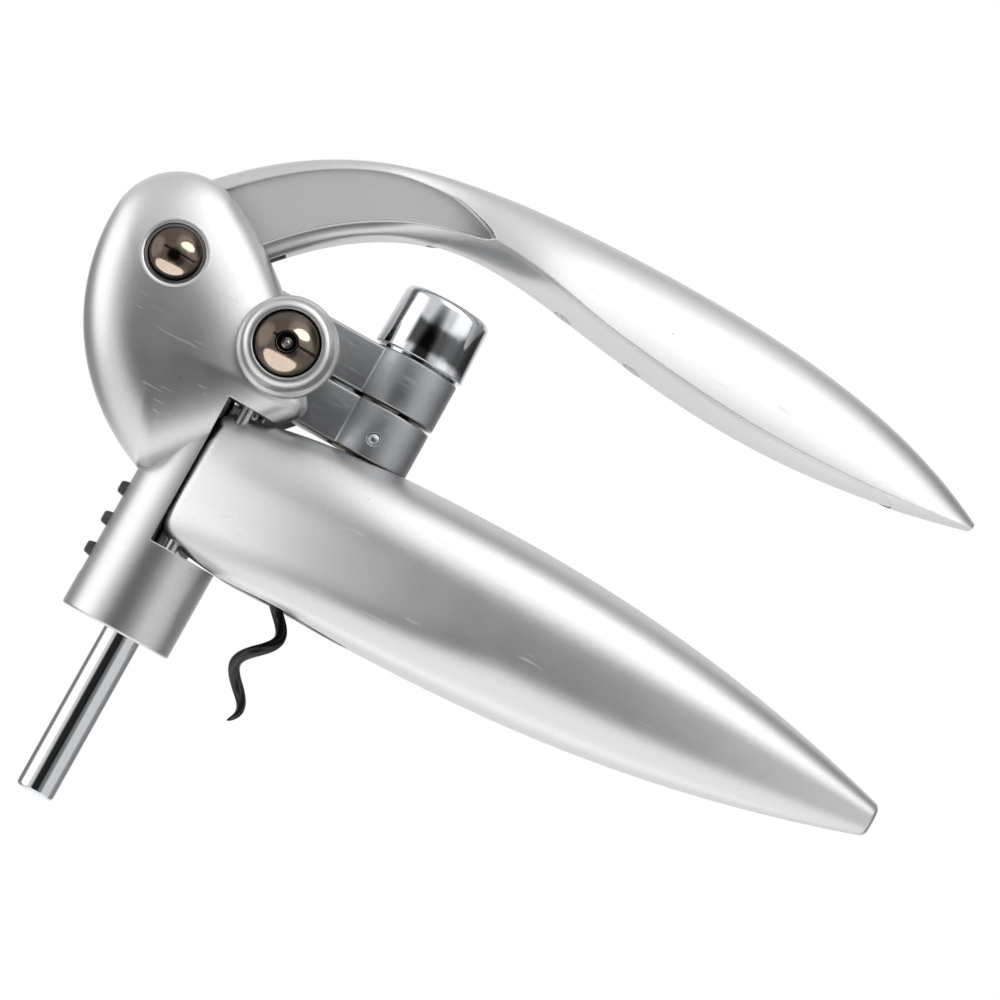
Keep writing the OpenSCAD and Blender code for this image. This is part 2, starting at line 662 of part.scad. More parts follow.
module lever_arm() {
    over = [for (i = [0 : 10]) curve(lever_over, grip_over * i / 10)];
    under = [for (i = [10 : -1 : 0]) curve(lever_under, grip_under * i / 10)];
    color(silver) difference() {
        union() {
            at_axle() slab(-lever_t / 2, lever_t / 2) union() {
                circle(lever_hub_r);
                polygon(concat(over, under, [[0, 0]]));
            }
            tongue(0);
        }
        web_cut();
        at_axle() slab(-slot_w / 2, slot_w / 2) circle(fork_r);
        bar_y(axle_x, axle_z, lever_bush_r + seat_play, -lever_t, lever_t);
        at_axle() for (a = dowel_turns)
            rotate([0, -a, 0]) bar_y(dowel_ring_r, 0, dowel_r + seat_play, -lever_t, lever_t);
        grip_screw_holes();
    }
}

module drive_gear() {
    color(dark_steel) difference() {
        at_axle() slab(-slot_w / 2, slot_w / 2) polygon(gear_outline);
        bar_y(axle_x, axle_z, lever_bush_r + seat_play, -lever_t, lever_t);
        at_axle() for (a = dowel_turns)
            rotate([0, -a, 0]) bar_y(dowel_ring_r, 0, dowel_r + seat_play, -lever_t, lever_t);
    }
}

module gear_dowels() {
    color(steel) at_axle() for (a = dowel_turns)
        rotate([0, -a, 0]) bar_y(dowel_ring_r, 0, dowel_r, -lever_t / 2, lever_t / 2);
}

module lever_bush() {
    color(bronze) difference() {
        bar_y(axle_x, axle_z, lever_bush_r, -lever_t / 2, lever_t / 2);
        bar_y(axle_x, axle_z, axle_r + run_play, -lever_t, lever_t);
    }
}

module lever_grip() {
    color(silver) difference() {
        loft([for (u = grip_turns) grip_ring(u)]);
        web_cut();
        loft([for (u = strip_turns) strip_ring(u, 0, -1, strip_t)]);
        tongue(seat_play);
        grip_screw_holes();
    }
}

module grip_strip() {
    color(silver) difference() {
        loft([for (u = strip_turns) strip_ring(u, seat_play, 0.1, strip_t)]);
        grip_screw_holes();
        for (u = screw_turns)
            bar_z(under_at(u)[0], 0, screw_head_r + seat_play, axle_z, under_at(u)[1] + 0.7);
    }
}

module grip_screws() {
    color(steel) for (u = screw_turns) {
        bar_z(under_at(u)[0], 0, screw_head_r, under_at(u)[1] - 0.2, under_at(u)[1] + 0.7);
        bar_z(under_at(u)[0], 0, screw_r, under_at(u)[1] + 0.6, mid_at(u)[1]);
    }
}

module worm_carriage() {
    color(zinc) difference() {
        union() {
            bar_z(0, 0, carriage_d / 2, carriage_z, carriage_top);
            box(arm_back_x, 0, -arm_w / 2, arm_w / 2, carriage_z, arm_top);
        }
        box(2 * rack_x, rack_back_x + seat_play, -rack_w / 2 - seat_play, rack_w / 2 + seat_play, 0,
            2 * carriage_top);
        bar_z(rod_x, 0, rod_r + seat_play, 0, arm_top - 2.4);
        bar_y(rack_back_x - 2.3, arm_mid_z, dowel_r + seat_play, -arm_w, arm_w);
        bar_y(rod_x, arm_mid_z - 1, dowel_r + seat_play, -arm_w, arm_w);
        bar_z(0, 0, head_r + run_play + bearing_wall + seat_play, 0, 2 * carriage_top);
        bar_z(0, 0, cap_bore_r, bearing_z, 2 * carriage_top);
    }
}

module bearing_cap() {
    r0 = cap_d / 2;
    r1 = (cap_d - cap_taper) / 2;
    z0 = carriage_top + cap_groove;
    z1 = z0 + cap_h;
    color(chrome) rotate_extrude() polygon(concat(
        [[0, z1 - 3], [head_flange_r - 1, z1 - 3], [head_flange_r - 1, cap_foot_z],
            [cap_bore_r - seat_play, cap_foot_z], [cap_bore_r - seat_play, carriage_top],
            [r0 - 0.9, carriage_top], [r0 - 0.9, z0], [r0 - 0.3, z0], [r0, z0 + 0.3]],
        arc_points([r1 - 1.6, z1 - 1.6], 1.6, 0, 90, 6),
        [[0, z1]]));
}

module guide_rod() {
    color(chrome) difference() {
        translate([rod_x, 0, 0]) rotate_extrude() polygon([[0, -sleeve_depth - rod_drop],
            [rod_r - 0.4, -sleeve_depth - rod_drop], [rod_r, -sleeve_depth - rod_drop + 0.4],
            [rod_r, arm_top - 2.4], [0, arm_top - 2.4]]);
        bar_y(rod_x, arm_mid_z - 1, dowel_r + seat_play, -rod_d, rod_d);
    }
}

module rack() {
    teeth = floor((arm_top - rack_tooth_z) / tooth_step);
    half_root = tooth_t / 2 + tooth_foot * tan(tooth_slant);
    half_tip = tooth_t / 2 - tooth_top * tan(tooth_slant);
    row = [for (k = [0 : teeth]) let (z = rack_tooth_z + k * tooth_step) if (z + half_root < arm_top)
        each [[rack_root_x, z - half_root], [rack_x - tooth_top, z - half_tip],
            [rack_x - tooth_top, z + half_tip], [rack_root_x, z + half_root]]];
    color(dark_steel) difference() {
        slab(-rack_w / 2, rack_w / 2) polygon(concat([[rack_back_x, -rack_depth]], row,
            [[rack_root_x, arm_top], [rack_back_x, arm_top]]));
        bar_y(rack_back_x - 2.3, arm_mid_z, dowel_r + seat_play, -arm_w, arm_w);
    }
}

module rack_pin() {
    color(steel) bar_y(rack_back_x - 2.3, arm_mid_z, dowel_r, -arm_w / 2, arm_w / 2);
}

module rod_pin() {
    color(steel) bar_y(rod_x, arm_mid_z - 1, dowel_r, -arm_w / 2, arm_w / 2);
}

module worm_bush() {
    color(bronze) difference() {
        bar_z(0, 0, head_r + run_play + bearing_wall, carriage_z, bearing_z);
        bar_z(0, 0, head_r + run_play, 0, 2 * carriage_top);
    }
}

module thrust_washer() {
    color(bronze) difference() {
        bar_z(0, 0, cap_bore_r - seat_play, bearing_z, bearing_z + washer_t);
        bar_z(0, 0, head_r + pass_gap, 0, 2 * carriage_top);
    }
}

// Turn of the coil at a height, with the peg between two of its turns
function coil_turn(z) = 360 * (z - peg_z) / worm_pitch - 90;
coil_end_turn = coil_turn(coil_top);

// Wire ring square to the coil's direction at turn a, or level on the straight stub
function wire_ring(a, z, r, level) = let (lead = worm_pitch / 2 / PI, n = [cos(a), sin(a), 0],
    up = level ? [0, 0, 1] : [-coil_r * sin(a), coil_r * cos(a), lead] / norm([coil_r, lead]),
    b = cross(n, up))
    [for (i = [0 : 11]) [coil_r * cos(a), coil_r * sin(a), z] + r * (cos(30 * i) * n + sin(30 * i) * b)];

module worm() {
    steps = ceil((coil_top + worm_depth) / worm_pitch * 22);
    rise = (coil_top + worm_depth) / steps;
    rings = [for (i = [0 : steps]) let (z = i * rise)
        wire_ring(coil_turn(z - worm_depth), z - worm_depth,
            worm_wire / 2 * min(1, 0.1 + 0.9 * sqrt(z / worm_taper)), false)];
    stub = [for (z = [head_z - 0.5, head_z + socket_h]) wire_ring(coil_end_turn, z, worm_wire / 2, true)];
    color(black) loft(concat(rings, stub));
}

module worm_head() {
    color(steel) difference() {
        union() {
            bar_z(0, 0, head_r, head_z, head_flange_z + 0.5);
            bar_z(0, 0, head_flange_r, head_flange_z, head_flange_z + head_flange_h);
        }
        bar_z(coil_r * cos(coil_end_turn), coil_r * sin(coil_end_turn), worm_wire / 2 + seat_play, 0,
            head_z + socket_h);
    }
}

module nut_carriage() {
    color(zinc) difference() {
        union() {
            bar_z(0, 0, nut_d / 2, nut_z, nut_z + nut_h);
            box(rack_back_x + pass_gap, 0, -arm_w / 2, arm_w / 2, nut_z, nut_z + nut_h);
        }
        bar_z(rod_x, 0, rod_r + run_play, 0, 2 * carriage_top);
        bar_z(0, 0, nut_bush_r + seat_play, 0, 2 * carriage_top);
        bar_y(0, nut_pin_z, nut_pin_d / 2 + seat_play, -nut_d, 0);
        bar_y(0, nut_pin_z, nut_pin_d / 2 + 0.35, -nut_d, -nut_d / 2 + 0.9);
    }
}

module nut_bush() {
    color(bronze) difference() {
        bar_z(0, 0, nut_bush_r, nut_z, nut_z + nut_h);
        bar_z(0, 0, nut_bore_r, 0, 2 * carriage_top);
        bar_y(0, nut_pin_z, nut_pin_d / 2 + seat_play, -nut_d, -nut_bore_r - 0.8);
        bar_y(0, peg_z, peg_r + seat_play, 0, nut_d);
    }
}

module nut_peg() {
    color(steel) bar_y(0, peg_z, peg_r, 0.8, nut_bush_r - 0.2);
}

module nut_pin() {
    color(steel) bar_y(0, nut_pin_z, nut_pin_d / 2, -nut_d / 2 + 0.2, -nut_bore_r - 0.8);
}

module front_handle() {
    color(silver) front() handle();
}

module front_cover() {
    color(plastic) front() cover();
}

module front_jaw_pad() {
    color(rubber) front() pad();
}

module front_cover_screws() {
    color(steel) front() cover_screw_row();
}

module rear_handle() {
    color(silver) handle();
}

module rear_cover() {
    color(plastic) cover();
}

module rear_jaw_pad() {
    color(rubber) pad();
}

module rear_cover_screws() {
    color(steel) cover_screw_row();
}

body_sleeve();
front_cheek();
rear_cheek();
front_boss();
rear_boss();
boss_rivets();
rivet_pins();
lever_axle();
axle_caps();
hinge_pins();
rod_bush();
lever_arm();
drive_gear();
gear_dowels();
lever_bush();
lever_grip();
grip_strip();
grip_screws();
worm_carriage();
bearing_cap();
guide_rod();
rack();
rack_pin();
rod_pin();
worm_bush();
thrust_washer();
worm();
worm_head();
nut_carriage();
nut_bush();
nut_peg();
nut_pin();
front_handle();
front_cover();
front_jaw_pad();
front_cover_screws();
rear_handle();
rear_cover();
rear_jaw_pad();
rear_cover_screws();
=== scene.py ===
import math

import bmesh
import bpy
from mathutils import Matrix, Vector


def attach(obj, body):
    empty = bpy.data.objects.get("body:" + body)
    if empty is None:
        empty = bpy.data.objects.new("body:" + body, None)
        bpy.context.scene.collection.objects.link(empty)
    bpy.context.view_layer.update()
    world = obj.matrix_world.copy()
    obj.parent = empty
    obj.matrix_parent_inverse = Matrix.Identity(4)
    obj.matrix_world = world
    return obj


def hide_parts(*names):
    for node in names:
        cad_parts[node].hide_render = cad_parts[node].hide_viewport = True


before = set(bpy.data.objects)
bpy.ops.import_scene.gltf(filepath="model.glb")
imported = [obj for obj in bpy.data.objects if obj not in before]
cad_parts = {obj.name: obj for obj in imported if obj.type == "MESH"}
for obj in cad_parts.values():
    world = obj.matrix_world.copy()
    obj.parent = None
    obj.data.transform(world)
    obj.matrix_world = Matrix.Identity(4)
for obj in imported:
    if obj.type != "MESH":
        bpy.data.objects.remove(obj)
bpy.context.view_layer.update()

scene = bpy.context.scene
scene.view_settings.view_transform = "Standard"


# Camera: a long lens a little below the corkscrew's middle. It looks up by 4.4 degrees and is rolled
# by 29 degrees, so that the handles run down to the right.
lens_tilt = math.radians(4.4)
lens_roll = math.radians(29)
across = Vector((1, 0, 0))
ahead = Vector((0, math.cos(lens_tilt), math.sin(lens_tilt)))
upward = Vector((0, -math.sin(lens_tilt), math.cos(lens_tilt)))
picture_right = math.cos(lens_roll) * across + math.sin(lens_roll) * upward
picture_up = math.cos(lens_roll) * upward - math.sin(lens_roll) * across
camera = bpy.data.objects.new("camera", bpy.data.cameras.new("camera"))
camera.data.sensor_width, camera.data.lens = 36, 136.08
camera.matrix_world = Matrix((picture_right, picture_up, -ahead)).transposed().to_4x4()
camera.location = (0.0256, -0.6979, -0.0433)
scene.collection.objects.link(camera)
scene.camera = camera


# Light tent and floor: white cloth all round with soft boxes behind it, a dark gap where the camera
# looks in, and a white table just under the swung lever. The metal mirrors the tent; all else is white.
def linear(code):
    parts = [int(code[i:i + 2], 16) / 255 for i in (1, 3, 5)]
    return tuple(p / 12.92 if p <= 0.04045 else ((p + 0.055) / 1.055) ** 2.4 for p in parts) + (1.0,)


def add(tree, kind, inputs=None, **settings):
    made = tree.nodes.new("ShaderNode" + kind)
    for name, value in settings.items():
        setattr(made, name, value)
    for name, value in (inputs or {}).items():
        if isinstance(value, bpy.types.NodeSocket):
            tree.links.new(value, made.inputs[name])
        else:
            made.inputs[name].default_value = value
    return made


def empty_tree(owner):
    owner.use_nodes = True
    owner.node_tree.nodes.clear()
    return owner.node_tree


def seen_directly(tree):
    path = add(tree, "LightPath").outputs
    some = add(tree, "Math", {0: path["Is Camera Ray"], 1: path["Is Glossy Ray"]}, operation="MAXIMUM")
    return add(tree, "Math", {0: some.outputs[0], 1: path["Is Transmission Ray"]},
               operation="MAXIMUM").outputs[0]


scene.world = bpy.data.worlds.new("white_room")
tree = empty_tree(scene.world)
level = add(tree, "MapRange", {"Value": seen_directly(tree), "To Min": 0.75, "To Max": 1.0})
room = add(tree, "Background", {"Color": linear("#ffffff"), "Strength": level.outputs[0]})
add(tree, "OutputWorld", {"Surface": room.outputs[0]})

tent_cloth = bpy.data.materials.new("tent_cloth")
tree = empty_tree(tent_cloth)
middle = (0.026, 0.0, -0.008)
spot = add(tree, "VectorMath", {0: add(tree, "NewGeometry").outputs["Position"], 1: middle},
           operation="SUBTRACT")
way = add(tree, "VectorMath", {0: spot.outputs[0]}, operation="NORMALIZE").outputs[0]


def tent_side(turn, lift):
    turn, lift = math.radians(turn), math.radians(lift)
    return Vector((math.sin(turn) * math.cos(lift), -math.cos(turn) * math.cos(lift), math.sin(lift)))


def towards(turn, lift, core, edge, outside, inside):
    facing = add(tree, "VectorMath", {0: way, 1: tent_side(turn, lift)}, operation="DOT_PRODUCT")
    return add(tree, "MapRange", {"Value": facing.outputs["Value"], "From Min": math.cos(math.radians(edge)),
                                  "From Max": math.cos(math.radians(core)), "To Min": outside,
                                  "To Max": inside}, interpolation_type="SMOOTHSTEP").outputs[0]


tent_light = add(tree, "RGB").outputs[0]
tent_light.default_value = linear("#f2f2f2")
# Soft boxes: turn from the camera and lift in degrees, half width of the core and of the soft edge,
# colour and strength
for turn, lift, core, edge, colour, strength in (
        (-76, -2, 18, 34, "#ffffff", 1.0), (18, 52, 20, 36, "#ffffff", 1.0),
        (30, 80, 14, 32, "#ffffff", 0.3), (56, 24, 10, 30, "#fbfcff", 0.7),
        (40, -75, 30, 65, "#ffffff", 0.45), (180, -35, 22, 48, "#ffffff", 0.4),
        (150, 30, 14, 34, "#ffffff", 0.35), (-150, 32, 16, 36, "#ffffff", 0.35)):
    glow = towards(turn, lift, core, edge, 0.0, strength)
    panel = add(tree, "VectorMath", {0: linear(colour)[:3], "Scale": glow}, operation="SCALE")
    tent_light = add(tree, "VectorMath", {0: tent_light, 1: panel.outputs[0]}, operation="ADD").outputs[0]
# Dark places, in the same way, with the share of light left: the gap that the camera looks in through,
# and the unlit corners beside and behind the tent
for turn, lift, core, edge, left in (
        (-6, -4, 15, 30, 0.03), (22, -14, 9, 22, 0.3), (-124, -18, 14, 34, 0.35),
        (128, -8, 14, 38, 0.4), (112, 45, 14, 38, 0.35), (180, 20, 30, 75, 0.75)):
    dim = towards(turn, lift, core, edge, 1.0, left)
    tent_light = add(tree, "VectorMath", {0: tent_light, "Scale": dim}, operation="SCALE").outputs[0]
# The dark room shows as a thin line over the table's far edge, in front and to the right
line_rise, line_core, line_edge, line_left = 0.165, 0.05, 0.08, 0.12
rise = add(tree, "SeparateXYZ", {0: way}).outputs["Z"]
over_table = add(tree, "Math", {0: rise, 1: line_rise}, operation="SUBTRACT")
over_table = add(tree, "Math", {0: over_table.outputs[0]}, operation="ABSOLUTE")
line = add(tree, "MapRange", {"Value": over_table.outputs[0], "From Min": line_core, "From Max": line_edge,
                              "To Min": line_left, "To Max": 1.0}, interpolation_type="SMOOTHSTEP")
facing = add(tree, "VectorMath", {0: way, 1: tent_side(45, 6)}, operation="DOT_PRODUCT")
beyond = add(tree, "MapRange", {"Value": facing.outputs["Value"], "From Min": -0.2, "From Max": 0.0,
                                "To Min": 1.0, "To Max": 0.0})
line = add(tree, "Math", {0: line.outputs[0], 1: beyond.outputs[0]}, operation="MAXIMUM")
tent_light = add(tree, "VectorMath", {0: tent_light, "Scale": line.outputs[0]}, operation="SCALE").outputs[0]
glow = add(tree, "Emission", {"Color": tent_light, "Strength": 1.0})
add(tree, "OutputMaterial", {"Surface": glow.outputs[0]})

tent_r = 1.6
shape = bmesh.new()
bmesh.ops.create_uvsphere(shape, u_segments=48, v_segments=24, radius=tent_r)
bmesh.ops.translate(shape, verts=shape.verts, vec=middle)
tent = bpy.data.objects.new("light_tent", bpy.data.meshes.new("light_tent"))
shape.to_mesh(tent.data)
shape.free()
tent.data.materials.append(tent_cloth)
tent.visible_camera = tent.visible_shadow = tent.visible_diffuse = tent.visible_transmission = False
scene.collection.objects.link(tent)

table_paper = bpy.data.materials.new("table_paper")
tree = empty_tree(table_paper)
paper = add(tree, "BsdfDiffuse", {"Color": linear("#f6f6f6")})
white = add(tree, "Emission", {"Color": linear("#ffffff"), "Strength": 1.0})
share = add(tree, "Math", {0: seen_directly(tree), 1: 0.9}, operation="MULTIPLY")
sheet = add(tree, "MixShader", {0: share.outputs[0], 1: paper.outputs[0], 2: white.outputs[0]})
# A camera under the table looks through it
under = add(tree, "Math", {0: add(tree, "NewGeometry").outputs["Backfacing"],
                           1: add(tree, "LightPath").outputs["Is Camera Ray"]}, operation="MULTIPLY")
sheet = add(tree, "MixShader", {0: under.outputs[0], 1: sheet.outputs[0],
                                2: add(tree, "BsdfTransparent").outputs[0]})
add(tree, "OutputMaterial", {"Surface": sheet.outputs[0]})
# The table stands just under the lowest reach of the swung lever
table_r, table_z = 0.24, -0.104
shape = bmesh.new()
bmesh.ops.create_circle(shape, cap_ends=True, segments=96, radius=table_r)
bmesh.ops.translate(shape, verts=shape.verts, vec=(0, 0, table_z))
floor = bpy.data.objects.new("table_top", bpy.data.meshes.new("table_top"))
shape.to_mesh(floor.data)
shape.free()
floor.data.materials.append(table_paper)
floor.visible_glossy = False
scene.collection.objects.link(floor)


def area_lamp(name, shape, turn, lift, reach, wide, high, energy):
    lamp = bpy.data.objects.new(name, bpy.data.lights.new(name, "AREA"))
    lamp.data.shape = shape
    lamp.data.size, lamp.data.size_y, lamp.data.energy = wide, high, energy
    lamp.location = Vector(middle) + reach * tent_side(turn, lift)
    lamp.rotation_euler = (Vector(middle) - lamp.location).to_track_quat("-Z", "Y").to_euler()
    scene.collection.objects.link(lamp)
    return lamp


for name, turn, lift, size, energy in (("left_lamp", -62, 38, 0.7, 9), ("right_lamp", 70, 30, 0.9, 5),
                                       ("rear_lamp", 165, 50, 0.9, 6)):
    lamp = area_lamp(name, "SQUARE", turn, lift, 1.1, size, size, energy)
    lamp.visible_glossy = False


# Body sleeve: zinc die casting that the rod runs through. A pocket at its front takes the handle
# hinges and a slot at its back takes the rack; it is sprayed with silver paint after casting.
def skin(rings, ends=True, looped=False):
    made = bmesh.new()
    rows = [[made.verts.new(Vector(p) * 0.001) for p in ring] for ring in rings]
    n = len(rows[0])
    for i in range(len(rows) if looped else len(rows) - 1):
        low, high = rows[i], rows[(i + 1) % len(rows)]
        for j in range(n):
            made.faces.new((low[j], low[(j + 1) % n], high[(j + 1) % n], high[j]))
    if ends and not looped:
        made.faces.new(rows[0][::-1])
        made.faces.new(rows[-1])
    return made


def softened(corners, looped=False):
    line = []
    for i, corner in enumerate(corners):
        here = Vector(corner[:2])
        if len(corner) < 3 or not (looped or 0 < i < len(corners) - 1):
            line.append(here)
            continue
        to_last = (Vector(corners[i - 1][:2]) - here).normalized()
        to_next = (Vector(corners[(i + 1) % len(corners)][:2]) - here).normalized()
        half = to_last.angle(to_next) / 2
        reach = corner[2] / math.tan(half)
        hub = here + (to_last + to_next).normalized() * corner[2] / math.sin(half)
        first, last = here + to_last * reach - hub, here + to_next * reach - hub
        swing = first.angle_signed(last)
        for k in range(7):
            line.append(hub + Matrix.Rotation(-swing * k / 6, 2) @ first)
    return line


def turned(corners, centre, along="Z", looped=False, steps=96):
    rings = []
    for r, h in softened(corners, looped):
        ring = []
        for k in range(steps):
            a = 2 * math.pi * k / steps
            u, v = centre[0] + max(r, 0.001) * math.cos(a), centre[1] + max(r, 0.001) * math.sin(a)
            ring.append((u, v, h) if along == "Z" else (u, h, v))
        rings.append(ring)
    return skin(rings, looped=looped)


def bar(r, h0, h1, centre, along="Z", steps=96):
    return turned([(0, h0), (r, h0), (r, h1), (0, h1)], centre, along, steps=steps)


def block(x0, x1, y0, y1, z0, z1):
    return skin([[(x0, y0, z), (x1, y0, z), (x1, y1, z), (x0, y1, z)] for z in (z0, z1)])


def plate(outline, y0, y1):
    return skin([[(x, y, z) for x, z in outline] for y in (y0, y1)])


def finished(name, shapes, cuts=(), crease=32):
    whole = bmesh.new()
    for shape in shapes:
        bmesh.ops.recalc_face_normals(shape, faces=shape.faces)
        loose = bpy.data.meshes.new("loose")
        shape.to_mesh(loose)
        shape.free()
        whole.from_mesh(loose)
        bpy.data.meshes.remove(loose)
    made = bpy.data.objects.new(name, bpy.data.meshes.new(name))
    whole.to_mesh(made.data)
    whole.free()
    scene.collection.objects.link(made)
    cutters = []
    for shape in cuts:
        bmesh.ops.recalc_face_normals(shape, faces=shape.faces)
        cutter = bpy.data.objects.new("cutter", bpy.data.meshes.new("cutter"))
        shape.to_mesh(cutter.data)
        shape.free()
        scene.collection.objects.link(cutter)
        cutters.append(cutter)
        made.modifiers.new("cut", "BOOLEAN").object = cutter
    if cutters:
        bpy.context.view_layer.update()
        done = bpy.data.meshes.new_from_object(made.evaluated_get(bpy.context.evaluated_depsgraph_get()))
        made.modifiers.clear()
        rough = made.data
        made.data = done
        bpy.data.meshes.remove(rough)
        done.name = name
        for cutter in cutters:
            mesh = cutter.data
            bpy.data.objects.remove(cutter)
            bpy.data.meshes.remove(mesh)
    made.data.shade_smooth()
    made.data.set_sharp_from_angle(angle=math.radians(crease))
    return made


def joined(piece, extra, crease=32):
    whole = bmesh.new()
    whole.from_mesh(piece.data)
    whole.from_mesh(extra.data)
    whole.to_mesh(piece.data)
    whole.free()
    bpy.data.objects.remove(extra)
    piece.data.set_sharp_from_angle(angle=math.radians(crease))
    return piece


def mount(piece, finish, slot, body, *stands_for):
    piece.data.materials.clear()
    piece.data.materials.append(finish)
    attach(piece, body)
    if stands_for:
        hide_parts(*stands_for)


def dress(finish, *names):
    for name in names:
        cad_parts[name].data.materials.clear()
        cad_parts[name].data.materials.append(finish)


def per_mm(size):
    return 1000 / size


def new_finish(name):
    made = bpy.data.materials.new(name)
    tree = empty_tree(made)
    return made, tree, add(tree, "TexCoord").outputs["Object"]


def blend(tree, share, first, second):
    first, second = (linear(c) if isinstance(c, str) else c for c in (first, second))
    return add(tree, "Mix", {0: share, 6: first, 7: second}, data_type="RGBA").outputs[2]


def worn_edge(tree, rounded, full):
    flat = add(tree, "NewGeometry").outputs["Normal"]
    turn_off = add(tree, "VectorMath", {0: rounded.outputs[0], 1: flat}, operation="DOT_PRODUCT")
    return add(tree, "MapRange", {"Value": turn_off.outputs["Value"], "From Min": 0.985, "From Max": full})


def coat(tree, colour, roughness, normal, kind):
    surface = add(tree, "BsdfPrincipled", {"Base Color": colour, "Roughness": roughness,
                                           "Normal": normal, **kind})
    add(tree, "OutputMaterial", {"Surface": surface.outputs[0]})


# Silver paint: aluminium flake sprayed on die-cast zinc. It gives a satin metal with soft broad
# reflections, a faint orange peel, thin bright edges where the paint has rubbed off, and pinholes.
silver_paint, tree, place = new_finish("sprayed_silver_paint")
cloud = add(tree, "TexNoise", {"Vector": place, "Scale": per_mm(11), "Detail": 4.0, "Roughness": 0.6})
# Flakes are 0.04 mm across and are drawn at 0.25 mm, so that they show as a faint grain
flakes = add(tree, "TexVoronoi", {"Vector": place, "Scale": per_mm(0.25)})
flake = add(tree, "MapRange", {"Value": flakes.outputs["Color"], "To Min": -0.02, "To Max": 0.02})
# Wiping scratches are 0.05 mm wide and are drawn at 0.6 mm
stretched = add(tree, "Mapping", {"Vector": place, "Rotation": (0.3, 0.9, 0.5), "Scale": (1, 26, 26)})
lines = add(tree, "TexNoise", {"Vector": stretched.outputs[0], "Scale": per_mm(16), "Detail": 2.0})
scratch = add(tree, "MapRange", {"Value": lines.outputs[0], "From Min": 0.67, "From Max": 0.72})
holes = add(tree, "TexVoronoi", {"Vector": place, "Scale": per_mm(8)})
pinhole = add(tree, "MapRange", {"Value": holes.outputs["Distance"], "From Min": 0.018, "From Max": 0.03,
                                 "To Min": 1.0, "To Max": 0.0})
rounded = add(tree, "Bevel", {"Radius": 0.00035}, samples=6)
rub = worn_edge(tree, rounded, 0.86)
rubbed = add(tree, "Math", {0: rub.outputs[0], 1: cloud.outputs[0]}, operation="MULTIPLY")
tone = blend(tree, cloud.outputs[0], "#c8c8c7", "#cfcfcf")
tone = blend(tree, rubbed.outputs[0], tone, "#dcdcda")
tone = blend(tree, pinhole.outputs[0], tone, "#a0a0a0")
grain = add(tree, "VectorMath", {0: tone, 1: flake.outputs[0]}, operation="ADD")
satin = add(tree, "MapRange", {"Value": cloud.outputs[0], "To Min": 0.31, "To Max": 0.39}, name="satin")
satin = add(tree, "Math", {0: scratch.outputs[0], 1: 0.10, 2: satin.outputs[0]}, operation="MULTIPLY_ADD")
peel = add(tree, "TexNoise", {"Vector": place, "Scale": per_mm(1.3), "Detail": 1.0})
height = add(tree, "Math", {0: scratch.outputs[0], 1: -0.5, 2: peel.outputs[0]}, operation="MULTIPLY_ADD")
skin_bump = add(tree, "Bump", {"Strength": 0.25, "Distance": 0.00002, "Height": height.outputs[0],
                               "Normal": rounded.outputs[0]})
coat(tree, grain.outputs[0], satin.outputs[0], skin_bump.outputs[0], {"Metallic": 1.0})

# Cuts run on past the casting, so their far faces lie at round numbers
sleeve_x, sleeve_r, sleeve_foot, sleeve_soft = -24.8, 11, -45.2, 0.5
spine_half, spine_foot, rack_slot_half, rack_slot_foot = 5.8, -2, 2.8, -38.5
pocket_back, pocket_floor = -26.5, -27.6
rod_x, rod_bore, bush_seat, bush_top = -23.2, 4.1, 5.38, -37.2
hinge_x, hinge_y, hinge_bore, hinge_foot = -22.6, 8.4, 1.27, -34.1
barrel = turned([(0, sleeve_foot), (sleeve_r, sleeve_foot, sleeve_soft), (sleeve_r, 2), (0, 2)],
                (sleeve_x, 0))
sleeve = finished("body_sleeve.cast", [barrel], [
    block(-60, 0, spine_half, 30, spine_foot, 40), block(-60, 0, -30, -spine_half, spine_foot, 40),
    block(pocket_back, 5, -25, 25, pocket_floor, 40),
    block(-60, -32, -6, 6, -8, 40), block(-60, -28, -rack_slot_half, rack_slot_half, rack_slot_foot, 40),
    bar(rod_bore, -50, 10, (rod_x, 0)), bar(bush_seat, -50, bush_top, (rod_x, 0)),
    bar(hinge_bore, hinge_foot, 0, (hinge_x, hinge_y), steps=32),
    bar(hinge_bore, hinge_foot, 0, (hinge_x, -hinge_y), steps=32)])
mount(sleeve, silver_paint, "silver_paint", "housing", "body_sleeve")


# Cheeks: two pebble-shaped zinc castings on the sleeve's spine, sprayed silver. Each has the handle
# pocket cut into its lower front and a round recess with a rolled rim for the axle's cap.
def arc(c, r, a0, a1, n):
    return [Vector((c[0] + r * math.cos(math.radians(a0 + (a1 - a0) * i / n)),
                    c[1] + r * math.sin(math.radians(a0 + (a1 - a0) * i / n)))) for i in range(n + 1)]


def spoke(a):
    return Vector((math.cos(math.radians(a)), math.sin(math.radians(a))))


axle = Vector((-47.8, 20))
top_c, top_r = axle + Vector((-1.4, 2.7)), 13.1
back_r, back_turn = 41.1, 177.6
front_r, front_turn = 75.4, 63.6
back_c = top_c - (back_r - top_r) * spoke(back_turn)
front_c = top_c - (front_r - top_r) * spoke(front_turn)
under_point, under_turn = axle + Vector((13.9, -36.7)), 47.4 + 90
under_side = spoke(under_turn)
nose_r, heel_r = 2.5, 3.0
nose_turn = under_turn - math.degrees(math.acos((nose_r - (front_c - under_point).dot(under_side))
                                                / (front_r - nose_r)))
heel_turn = under_turn + math.degrees(math.acos((heel_r - (back_c - under_point).dot(under_side))
                                                / (back_r - heel_r)))
nose_c = front_c + (front_r - nose_r) * spoke(nose_turn)
heel_c = back_c + (back_r - heel_r) * spoke(heel_turn)
nose_end, heel_end = nose_c - nose_r * under_side, heel_c - heel_r * under_side
